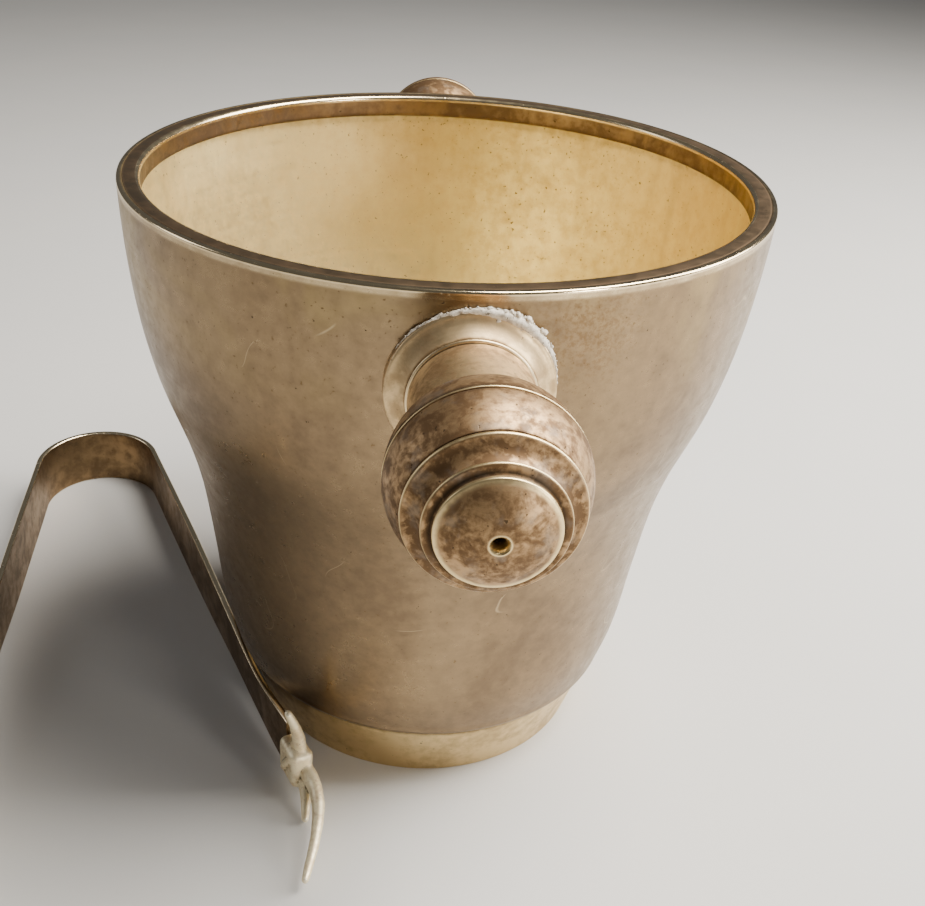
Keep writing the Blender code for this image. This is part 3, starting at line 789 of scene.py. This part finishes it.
# %% Rosette outline
def rosette_outline():
    """Bore, neck, bead and hollow slope; the disc's back is cut to the wall afterwards."""
    neck_end = KNOB_BACK - 0.05 * MM
    step_top = ROSETTE_FACE + STEP_HEIGHT
    bore_end = KNOB_BACK - GAP - BORE_DEPTH
    outline = marked([(0.0, bore_end), (STUD_RADIUS, bore_end), (STUD_RADIUS, neck_end)])
    # Painted shade where the neck meets the knob; dirt and painted shade in the groove over the bead.
    outline += marked([(NECK_RADIUS - 0.3 * MM, neck_end), (NECK_RADIUS, neck_end - 0.3 * MM)], grime=0.7)
    outline += marked([(NECK_RADIUS, neck_end - 1.2 * MM), (NECK_RADIUS, step_top + 1.2 * MM)], grime=0.05)
    outline += marked([(NECK_RADIUS, step_top + 1.0 * MM)], grime=0.3)
    outline += marked([(NECK_RADIUS - 0.2 * MM, step_top + 0.8 * MM)], grime=1.0)
    outline += marked([(NECK_RADIUS - 0.2 * MM, step_top + 0.3 * MM)], grime=1.0)
    bead_centre = (NECK_RADIUS + 0.05 * MM, step_top - 0.05 * MM)
    # The small bead's crest is painted bright: wear, and a painted highlight.
    outline += marked(arc(bead_centre, 0.3 * MM, 100.0, -30.0, 5), rub=0.7)
    outline += marked([(NECK_RADIUS + 0.2 * MM, step_top - 0.42 * MM)], grime=1.0)
    steps = 10
    reach = ROSETTE_RADIUS - 0.4 * MM - NECK_RADIUS - 0.3 * MM
    for i in range(1, steps + 1):
        t = i / steps
        radius = NECK_RADIUS + 0.3 * MM + reach * t
        outline += marked([(radius, ROSETTE_FACE + (STEP_HEIGHT - 0.5 * MM) * (1.0 - t) ** 1.7)], rub=0.35)
    edge = (ROSETTE_RADIUS - 0.45 * MM, ROSETTE_FACE - 0.5 * MM)
    outline += marked(arc(edge, 0.45 * MM, 70.0, 0.0, 4), rub=0.4)
    back = ROSETTE_FACE - ROSETTE_DEPTH
    side = [(ROSETTE_RADIUS, ROSETTE_FACE - 1.6 * MM), (ROSETTE_RADIUS, back), (0.0, back)]
    return outline + marked(side, grime=0.5)

# %% [markdown]
# The rosette is cut to the wall, as a real one is filed to sit on the curve: a copy of the wall's
# outer shape takes away its back, so nothing of it shows inside the bucket. A boolean does this in
# one step and keeps the painted values.

# %% Cutting to the wall
def to_plain_mesh(host):
    """The evaluated shape of an object as a mesh of its own."""
    bpy.context.view_layer.update()
    graph = bpy.context.evaluated_depsgraph_get()
    return bpy.data.meshes.new_from_object(host.evaluated_get(graph))


def cut_to_wall(piece):
    low = HEIGHT - 60 * MM
    outline = marked([(0.0, HEIGHT)]) + marked(wall_line(0.05 * MM, HEIGHT, low, 40)) + marked([(0.0, low)])
    cutter = lathe("wall_copy", outline, ROUND_STEPS, upright, piece.data.materials[0])
    fit = piece.modifiers.new("fit", "BOOLEAN")
    fit.operation = "DIFFERENCE"
    fit.object = cutter
    mesh = to_plain_mesh(piece)
    piece.modifiers.clear()
    piece.data = mesh
    bpy.data.objects.remove(cutter)

# %% [markdown]
# The knobs are the darkest pieces, because nobody polishes round their beads. The rosettes keep a
# paler, warmer brass. The hidden studs get a plain threaded finish and stay the CAD pieces.

# %% Rosettes, knobs and studs
def knob_finish():
    brass = Brass("knob_brass", AXIS, 1.3 * MM)
    brass.skin((0.47, 0.305, 0.155), (0.16, 0.095, 0.048), 0.60, 4 * MM, 0.46)
    greys = brass.graph.noise(brass.here, 5 * MM, 3.0, 0.7).rises(0.50, 0.70)
    brass.tint(greys * 0.5, (0.26, 0.215, 0.17))
    brass.specks(0.9 * MM, 0.45)
    brass.turned(0.5 * MM)
    brass.wear_and_painted_light((0.84, 0.65, 0.34))
    return brass.done()


def rosette_finish():
    brass = Brass("rosette_brass", AXIS, 1.4 * MM)
    brass.skin((0.78, 0.57, 0.31), (0.36, 0.23, 0.115), 0.45, 4.5 * MM, 0.42)
    brass.specks(1.0 * MM, 0.35, (0.16, 0.10, 0.06))
    brass.turned(0.6 * MM)
    brass.wear_and_painted_light()
    return brass.done()


def stud_finish():
    brass = Brass("stud_brass", AXIS)
    brass.skin((0.62, 0.50, 0.28), (0.44, 0.33, 0.18), 0.3, 6 * MM, 0.34)
    thread = brass.graph.noise(brass.graph.centred(AXIS, (0.1, 1.0, 0.1)), 0.7 * MM, 1.0)
    brass.height = brass.height + thread * 0.02
    return brass.done()


knob_brass, rosette_brass, stud_brass = knob_finish(), rosette_finish(), stud_finish()
for side, heading in (("front", -90.0), ("rear", 90.0 - REAR_TURN)):
    place = handle_place(heading)
    knob = lathe(side + "_knob", knob_outline(), TURN_STEPS, place, knob_brass)
    stand_for(knob, "bucket", "knob_brass", side + "_handle_knob")
    rosette = lathe(side + "_rosette", rosette_outline(), TURN_STEPS, place, rosette_brass)
    cut_to_wall(rosette)
    stand_for(rosette, "bucket", "rosette_brass", side + "_handle_rosette")
    stud = frame["nodes"][side + "_handle_stud"]
    stud.data.materials.clear()
    stud.data.materials.append(stud_brass)

# %% [markdown]
# ## Growing pieces with Geometry Nodes
#
# Two pieces follow a path. For those a node tree is built with named inputs, run on an empty host,
# and its result kept as a plain mesh. These helpers make the tree, the path and the mesh.

# %% Geometry Nodes helpers
def new_tree(name, inputs):
    """A node group with named inputs; returns its graph and a wire for each input."""
    tree = bpy.data.node_groups.new(name, "GeometryNodeTree")
    for label, kind in inputs:
        tree.interface.new_socket(label, in_out="INPUT", socket_type=kind)
    tree.interface.new_socket("Shape", in_out="OUTPUT", socket_type="NodeSocketGeometry")
    graph = Graph(tree)
    source = tree.nodes.new("NodeGroupInput")
    return graph, {label: Wire(graph, source.outputs[label]) for label, _ in inputs}


def shaken(graph, shape, size, detail, amount):
    """The shape with every point moved by cloudy noise."""
    here = graph.node("GeometryNodeInputPosition")
    values = {"Vector": here, "Scale": 1.0 / size, "Detail": detail}
    clouds = graph.node("ShaderNodeTexNoise", None, values, "Color")
    clouds = graph.vector("SUBTRACT", clouds, 1, (0.5, 0.5, 0.5))
    offset = graph.vector("SCALE", clouds, "Scale", amount)
    return graph.node("GeometryNodeSetPosition", None, {"Geometry": shape, "Offset": offset})


def finish_tree(graph, shape, material):
    """Realize, smooth and colour the shape, and send it out."""
    shape = graph.node("GeometryNodeRealizeInstances", None, {"Geometry": shape})
    shape = graph.node("GeometryNodeSetShadeSmooth", None, {"Geometry": shape})
    shape = graph.node("GeometryNodeSetMaterial", None, {"Geometry": shape, "Material": material})
    end = graph.tree.nodes.new("NodeGroupOutput")
    graph.tree.links.new(shape.socket, end.inputs["Shape"])


def grow(name, tree, values, place, material):
    """Run a tree on an empty host and keep what it makes as a plain mesh."""
    host = bpy.data.objects.new(name + "_host", bpy.data.meshes.new(name + "_host"))
    bpy.context.scene.collection.objects.link(host)
    modifier = host.modifiers.new("grow", "NODES")
    modifier.node_group = tree
    sockets = {item.name: item.identifier for item in tree.interface.items_tree if item.in_out == "INPUT"}
    for label, value in values.items():
        modifier[sockets[label]] = value
    mesh = to_plain_mesh(host)
    mesh.name = name
    bpy.data.objects.remove(host)
    mesh.transform(place)
    return add_piece(name, mesh, material)


def path_object(name, points, sizes):
    """A poly curve through points, each with its own radius."""
    curve = bpy.data.curves.new(name, "CURVE")
    curve.dimensions = "3D"
    spline = curve.splines.new("POLY")
    spline.points.add(len(points) - 1)
    for target, point, size in zip(spline.points, points, sizes):
        target.co = (*point, 1.0)
        target.radius = size
    path = bpy.data.objects.new(name, curve)
    bpy.context.scene.collection.objects.link(path)
    return path

# %% [markdown]
# ## Solder crust
#
# Somebody once soldered the front rosette back on and left a pale, crumbly line of solder round
# its upper edge, thickest on the right. A lumpy bead is swept along the seam, and crumbs are
# scattered beside it with a fixed seed.

# %% Solder
CRUST_START = 150.0
CRUST_END = -8.0
CRUST_THICK = 0.95 * MM
CRUMB_REACH = 0.9 * MM
CRUMB_DEPTH = 0.25 * MM
SMALLEST_CRUMB = 0.18
LARGEST_CRUMB = 0.62
LUMP = 0.9 * MM


def seam_path():
    """The upper right part of the seam between the front rosette and the wall."""
    points, sizes = [], []
    steps = 60
    for i in range(steps + 1):
        t = i / steps
        angle = math.radians(CRUST_START + (CRUST_END - CRUST_START) * t)
        across = ROSETTE_RADIUS * math.cos(angle)
        height = HANDLE_HEIGHT + ROSETTE_RADIUS * math.sin(angle)
        wall = math.sqrt(wall_radius(height) ** 2 - across ** 2)
        points.append((AXIS.x + across, AXIS.y - (wall + ROSETTE_FACE) / 2, height))
        swell = math.sin(math.pi * min(1.0, 0.04 + 0.96 * t)) ** 0.7
        sizes.append(swell * (0.45 + 0.75 * math.exp(-((t - 0.62) / 0.22) ** 2)))
    return path_object("seam", points, sizes)


def crust_tree():
    inputs = (("Path", "NodeSocketObject"), ("Thickness", "NodeSocketFloat"), ("Crumbs", "NodeSocketInt"),
              ("Seed", "NodeSocketInt"), ("Material", "NodeSocketMaterial"))
    graph, given = new_tree("solder_crust", inputs)
    seam = graph.node("GeometryNodeObjectInfo", None, {"Object": given["Path"]}, "Geometry")
    width = graph.node("GeometryNodeInputRadius")
    values = {"Resolution": 12, "Radius": given["Thickness"]}
    ring = graph.node("GeometryNodeCurvePrimitiveCircle", None, values)
    values = {"Curve": seam, "Profile Curve": ring, "Scale": width, "Fill Caps": True}
    line = graph.node("GeometryNodeCurveToMesh", None, values)
    values = {"Curve": seam, "Count": given["Crumbs"]}
    points = graph.node("GeometryNodeResampleCurve", {"mode": "COUNT"}, values)
    reach = Vector((CRUMB_REACH, CRUMB_DEPTH, CRUMB_REACH))
    values = {0: -reach, 1: reach, "Seed": given["Seed"]}
    drift = graph.node("FunctionNodeRandomValue", {"data_type": "FLOAT_VECTOR"}, values)
    drift = graph.vector("SCALE", drift, "Scale", width)
    points = graph.node("GeometryNodeSetPosition", None, {"Geometry": points, "Offset": drift})
    crumb = graph.node("GeometryNodeMeshIcoSphere", None, {"Radius": given["Thickness"], "Subdivisions": 2})
    values = {2: SMALLEST_CRUMB, 3: LARGEST_CRUMB, "Seed": given["Seed"] + 1}
    size = graph.node("FunctionNodeRandomValue", {"data_type": "FLOAT"}, values, 1)
    values = {"Points": points, "Instance": crumb, "Scale": size * width}
    crumbs = graph.node("GeometryNodeInstanceOnPoints", None, values)
    crumbs = graph.node("GeometryNodeRealizeInstances", None, {"Geometry": crumbs})
    both = graph.node("GeometryNodeJoinGeometry", None, {"Geometry": [line, crumbs]})
    finish_tree(graph, shaken(graph, both, LUMP, 3.0, LUMP), given["Material"])
    return graph.tree


def solder_finish():
    crust = Brass("solder_crust", AXIS, 0.8 * MM)
    crust.skin((0.84, 0.77, 0.65), (0.44, 0.37, 0.28), 0.40, 1.2 * MM, 0.65)
    crust.specks(0.7 * MM, 1.0, (0.10, 0.08, 0.06))
    crust.metallic = 0.1
    return crust.done()


seam = seam_path()
solder = solder_finish()
values = {"Path": seam, "Thickness": CRUST_THICK, "Crumbs": 420, "Seed": 11, "Material": solder}
crust = grow("solder_crust", crust_tree(), values, Matrix.Identity(4), solder)
bpy.data.objects.remove(seam)
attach(crust, "bucket")
print("crust has", len(crust.data.polygons), "faces")

# %% [markdown]
# ## The tongs' frame
#
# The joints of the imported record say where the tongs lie: the two squeeze pivots are the same
# distance from the bow, one on each side of the tongs' axis.

# %% Where the tongs lie
HINGE_AT = 22.0 * MM
STRIP_THICK = 1.6 * MM
BOW_RADIUS = 17.5 * MM
ARM_SPREAD = 9.2
ARM_LENGTH = 146.0 * MM
ARM_FLARE = 1.4 * MM
FLARE_LENGTH = 26.0 * MM
BOW_WIDTH = 17.8 * MM
NARROW_WIDTH = 11.2 * MM
END_WIDTH = 15.0 * MM
WIDE_UNTIL = 55.0 * MM
NARROW_BEFORE_END = 22.0 * MM


def tongs_matrix():
    """Local X runs from the bow to the claws, and local Y towards the bucket."""
    joints = {joint["name"]: joint for joint in frame["joints"]}
    left, right = (Vector(joints["tongs_%s_squeeze" % side]["pos_m"]) for side in ("left", "right"))
    sideways = (right - left).normalized()
    along = Vector((sideways.y, -sideways.x, 0.0))
    start = (left + right) / 2 - along * HINGE_AT
    turn = Matrix((along, sideways, Vector((0.0, 0.0, 1.0)))).transposed().to_4x4()
    return Matrix.Translation(start) @ turn


TONGS = tongs_matrix()
print("tongs start at", TONGS.translation, "and point along", TONGS.col[0].xyz)

# %% [markdown]
# ## The spring strip
#
# The tongs are one strip of hard brass bent round a former into a bow, wide where it bends, narrow
# before the claws. Its middle line is two straight arms and an arc, so Geometry Nodes sweep a
# rounded rectangle along that line and then stretch each point to the strip's height there. The
# strip is made in two halves that meet at the middle of the bow.

# %% Strip path
SPREAD = math.radians(ARM_SPREAD)
ARC_END_S = BOW_RADIUS * (1.0 - math.sin(SPREAD))
ARC_END_SIDE = BOW_RADIUS * math.cos(SPREAD)
CORNER = 0.45 * MM
SECTION_STEP = 0.35 * MM
WAVE_LENGTH = 22.0 * MM
WAVE = 0.15 * MM


def arm_side(s):
    """Distance of the strip's middle from the tongs' axis, s along the axis from the bow."""
    flare = max(s - (ARM_LENGTH - FLARE_LENGTH), 0.0) / FLARE_LENGTH
    inside = ARC_END_SIDE + (s - ARC_END_S) * math.tan(SPREAD) + ARM_FLARE * flare ** 2
    return inside + STRIP_THICK / 2


def strip_height(s):
    """Wide at the bow, narrow before the claws and wider again at the end."""
    narrow = ARM_LENGTH - NARROW_BEFORE_END
    if s <= WIDE_UNTIL:
        return BOW_WIDTH
    if s <= narrow:
        return BOW_WIDTH + (NARROW_WIDTH - BOW_WIDTH) * ease((s - WIDE_UNTIL) / (narrow - WIDE_UNTIL))
    return NARROW_WIDTH + (END_WIDTH - NARROW_WIDTH) * ease((s - narrow) / (ARM_LENGTH - narrow))


def ease(t):
    return t * t * (3.0 - 2.0 * t)


def strip_path(name, side):
    """From the middle of the bow to the arm's end, on one side of the tongs' axis."""
    points, sizes = [], []
    radius = BOW_RADIUS + STRIP_THICK / 2
    steps = 36
    last = math.pi / 2 - SPREAD
    for i in range(steps):
        angle = last * i / steps
        points.append((BOW_RADIUS - radius * math.cos(angle), side * radius * math.sin(angle), 0.0))
        sizes.append(BOW_WIDTH)
    steps = 110
    for i in range(steps + 1):
        s = ARC_END_S + (ARM_LENGTH - 0.3 * MM - ARC_END_S) * i / steps
        points.append((s, side * arm_side(s), 0.0))
        sizes.append(strip_height(s))
    return path_object(name, points, [size / BOW_WIDTH for size in sizes])

# %% [markdown]
# The tree sweeps the section first and then moves each point up or down by the strip's height at
# that place, so the rounded corners keep nearly their size where the strip is narrow.

# %% Strip tree and finish
def strip_tree():
    lengths = [(label, "NodeSocketFloat") for label in ("Thickness", "Width", "Corner", "Waviness")]
    inputs = [("Path", "NodeSocketObject"), *lengths, ("Material", "NodeSocketMaterial")]
    graph, given = new_tree("spring_strip", inputs)
    path = graph.node("GeometryNodeObjectInfo", None, {"Object": given["Path"]}, "Geometry")
    share = graph.node("GeometryNodeInputRadius")
    values = {"Geometry": path, "Name": "share", "Value": share}
    path = graph.node("GeometryNodeStoreNamedAttribute", {"data_type": "FLOAT", "domain": "POINT"}, values)
    path = graph.node("GeometryNodeSetCurveRadius", None, {"Curve": path, "Radius": 1.0})
    path = graph.node("GeometryNodeSetCurveNormal", {"mode": "Z_UP"}, {"Curve": path})
    values = {"Width": given["Thickness"], "Height": given["Width"]}
    section = graph.node("GeometryNodeCurvePrimitiveQuadrilateral", {"mode": "RECTANGLE"}, values)
    values = {"Curve": section, "Count": 5, "Radius": given["Corner"], "Limit Radius": True}
    section = graph.node("GeometryNodeFilletCurve", {"mode": "POLY"}, values)
    values = {"Curve": section, "Length": SECTION_STEP}
    section = graph.node("GeometryNodeResampleCurve", {"mode": "LENGTH"}, values)
    values = {"Curve": path, "Profile Curve": section, "Fill Caps": True}
    shape = graph.node("GeometryNodeCurveToMesh", None, values)
    here = graph.node("GeometryNodeInputPosition")
    up = graph.node("ShaderNodeSeparateXYZ", None, {0: here}, 2)
    share = graph.node("GeometryNodeInputNamedAttribute", {"data_type": "FLOAT"}, {"Name": "share"})
    offset = graph.node("ShaderNodeCombineXYZ", None, {2: up * (share - 1.0)})
    # Both long edges of the strip are painted bright: wear, and a painted highlight.
    edge = (abs(up) / (given["Width"] * 0.5)).rises(0.93, 0.99)
    values = {"Geometry": shape, "Name": "rub", "Value": edge}
    shape = graph.node("GeometryNodeStoreNamedAttribute", {"data_type": "FLOAT", "domain": "POINT"}, values)
    shape = graph.node("GeometryNodeSetPosition", None, {"Geometry": shape, "Offset": offset})
    finish_tree(graph, shaken(graph, shape, WAVE_LENGTH, 1.0, given["Waviness"]), given["Material"])
    return graph.tree


def strip_finish():
    brass = Brass("strip_brass", TONGS.translation)
    brass.skin((0.31, 0.205, 0.105), (0.165, 0.11, 0.06), 0.5, 16 * MM, 0.36)
    brass.specks(1.0 * MM, 0.35)
    brass.wear_and_painted_light((0.85, 0.70, 0.46))
    return brass.done()

# %% [markdown]
# Each half is grown from its own path and its placing is baked into the mesh, in place of the CAD
# bow and arm.

# %% Strip halves
strip_brass = strip_finish()
grown_strip = strip_tree()
for name, side in (("right", 1.0), ("left", -1.0)):
    path = strip_path(name + "_strip_path", side)
    values = {"Path": path, "Thickness": STRIP_THICK, "Width": BOW_WIDTH, "Corner": CORNER,
              "Waviness": WAVE, "Material": strip_brass}
    half = grow("strip_" + name + "_half", grown_strip, values, TONGS, strip_brass)
    bpy.data.objects.remove(path)
    half.data.set_sharp_from_angle(angle=math.radians(50.0))
    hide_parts("tongs_bow", "tongs_" + name + "_arm")
    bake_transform(half)
    print(half.name, "has", len(half.data.polygons), "faces")

# %% [markdown]
# ## The claws
#
# Each claw is a small casting: a block that grips the end of the strip, and three blunt toes that
# bulge outwards and hook in to hold an ice cube. Tapered tubes and a rounded block are merged by a
# voxel remesh and smoothed, which leaves the soft, slightly lumpy fillets of a casting.

# %% Claws
ANKLE = Vector((9.0, 5.6, 10.0)) * MM
ANKLE_TURN = 4.0
ANKLE_OUT = 0.6 * MM
TOE_RADIUS = 2.6 * MM
TOE_FLAT = 0.8
TOE_TIP = 0.42
TOE_CURL = 2.2
TOE_BULGE = 0.3
TOES = ((29.0, -10.0, 10.2), (19.0, 80.0, 3.2), (13.5, -34.0, 2.6))
VOXEL = 0.3 * MM


def toe_points(toe, steps=20):
    """Middle line and radius of a toe; it leaves the ankle and hooks towards the tongs' axis."""
    length, rise, hook = toe
    points = []
    for i in range(steps + 1):
        t = i / steps
        inward = hook * (t ** TOE_CURL - TOE_BULGE * math.sin(math.pi * t) * (1.0 - t))
        forward, up = length * t * math.cos(math.radians(rise)), length * t * math.sin(math.radians(rise))
        radius = TOE_RADIUS * (1.0 + (TOE_TIP - 1.0) * t)
        points.append((Vector((forward, -inward, up)) * MM, radius))
    return points


def swept_tube(shape, points, place, flat=1.0, sides=20):
    """A closed tapered tube along points, with a rounded tip."""
    rings = []
    line = [p for p, _ in points]
    for i, (point, radius) in enumerate(points):
        ahead = (line[min(i + 1, len(line) - 1)] - line[max(i - 1, 0)]).normalized()
        across = ahead.cross(Vector((0.0, 1.0, 0.0))).normalized()
        other = ahead.cross(across)
        angles = [2 * math.pi * k / sides for k in range(sides)]
        offsets = [radius * (math.cos(a) * across + flat * math.sin(a) * other) for a in angles]
        rings.append([shape.verts.new(place @ (point + offset)) for offset in offsets])
    for share in (30.0, 60.0):
        angle = math.radians(share)
        middle = line[-1] + ahead * radius * 0.8 * math.sin(angle)
        rings.append([shape.verts.new(place @ (middle + offset * math.cos(angle))) for offset in offsets])
    tips = [shape.verts.new(place @ line[0]), shape.verts.new(place @ (line[-1] + ahead * radius * 0.8))]
    for near, far in zip(rings, rings[1:]):
        for k in range(sides):
            shape.faces.new((near[k], near[(k + 1) % sides], far[(k + 1) % sides], far[k]))
    for k in range(sides):
        shape.faces.new((tips[0], rings[0][(k + 1) % sides], rings[0][k]))
        shape.faces.new((tips[1], rings[-1][k], rings[-1][(k + 1) % sides]))


def claw_shape(side):
    """Ankle, ridge and toes as separate closed parts, in the tongs' frame."""
    middle = Vector((ARM_LENGTH + GAP + ANKLE.x / 2, side * (arm_side(ARM_LENGTH) + ANKLE_OUT), 0.0))
    turn = Matrix.Rotation(math.radians(side * (ARM_SPREAD + ANKLE_TURN)), 4, "Z")
    place = Matrix.Translation(middle) @ turn
    shape = bmesh.new()
    made = bmesh.ops.create_cube(shape, size=1.0)["verts"]
    bmesh.ops.scale(shape, vec=ANKLE, verts=made)
    bmesh.ops.bevel(shape, geom=shape.edges[:], offset=1.5 * MM, segments=4, profile=0.5, affect="EDGES")
    bmesh.ops.transform(shape, matrix=place, verts=shape.verts)
    mirror = Matrix.Diagonal((1.0, side, 1.0, 1.0))
    for toe in TOES:
        swept_tube(shape, toe_points(toe), place @ mirror, TOE_FLAT)
    ridge = [(Vector((-2.4 + 5.2 * t, 2.2 + 0.8 * math.sin(math.pi * t), -4.0 + 8.0 * t)) * MM,
              (0.55 + 0.35 * math.sin(math.pi * t)) * MM) for t in (i / 10 for i in range(11))]
    swept_tube(shape, ridge, place @ mirror)
    inner = [(Vector((p.x, -p.y, p.z)), r) for p, r in ridge]
    swept_tube(shape, inner, place @ mirror)
    bmesh.ops.recalc_face_normals(shape, faces=shape.faces)
    return shape

# %% [markdown]
# A casting has no outline to paint, so its wear and painted light are worked out from the mesh: a
# point that stands out from its neighbours is painted bright, for wear and as a painted highlight,
# and one that lies below them dark, for dirt and as painted shade.

# %% Casting the claws
CLAW_LUMP_SIZE = 2.5 * MM
CLAW_LUMP = 0.12 * MM


def paint_wear_and_light(mesh):
    """Ridges get wear and painted highlight, hollows dirt and painted shade, by how far a corner stands out.
    """
    shape = bmesh.new()
    shape.from_mesh(mesh)
    rub, grime = (shape.verts.layers.float.new(key) for key in ("rub", "grime"))
    for vertex in shape.verts:
        around = [edge.other_vert(vertex).co for edge in vertex.link_edges]
        middle = sum(around, Vector()) / len(around)
        length = sum((co - vertex.co).length for co in around) / len(around)
        bulge = (vertex.co - middle).dot(vertex.normal) / max(length, 1e-9)
        vertex[rub] = min(1.0, max(0.0, (bulge - 0.05) * 6.0))
        vertex[grime] = min(1.0, max(0.0, (-bulge - 0.01) * 9.0))
    shape.to_mesh(mesh)
    shape.free()


def claw_finish():
    brass = Brass("claw_brass", TONGS.translation, 1.2 * MM)
    brass.skin((0.98, 0.86, 0.58), (0.70, 0.55, 0.33), 0.35, 3 * MM, 0.46)
    brass.specks(0.8 * MM, 0.3, (0.30, 0.24, 0.16))
    brass.wear_and_painted_light((0.95, 0.88, 0.70))
    brass.metallic = 0.6
    return brass.done()


def make_claw(name, side, material):
    shape = claw_shape(side)
    mesh = bpy.data.meshes.new(name)
    shape.to_mesh(mesh)
    shape.free()
    host = bpy.data.objects.new(name + "_host", mesh)
    bpy.context.scene.collection.objects.link(host)
    merge = host.modifiers.new("merge", "REMESH")
    merge.mode = "VOXEL"
    merge.voxel_size = VOXEL
    smooth = host.modifiers.new("smooth", "SMOOTH")
    smooth.factor = 0.5
    smooth.iterations = 4
    cast = to_plain_mesh(host)
    bpy.data.objects.remove(host)
    for vertex in cast.vertices:
        lump = noise.noise(vertex.co / CLAW_LUMP_SIZE) * CLAW_LUMP
        vertex.co += vertex.normal * lump
    paint_wear_and_light(cast)
    cast.transform(TONGS)
    cast.shade_smooth()
    return add_piece(name, cast, material)


claw_brass = claw_finish()
for name, side in (("right", 1.0), ("left", -1.0)):
    claw = make_claw(name + "_claw", side, claw_brass)
    stand_for(claw, "tongs_" + name, "claw_brass", "tongs_" + name + "_claw")
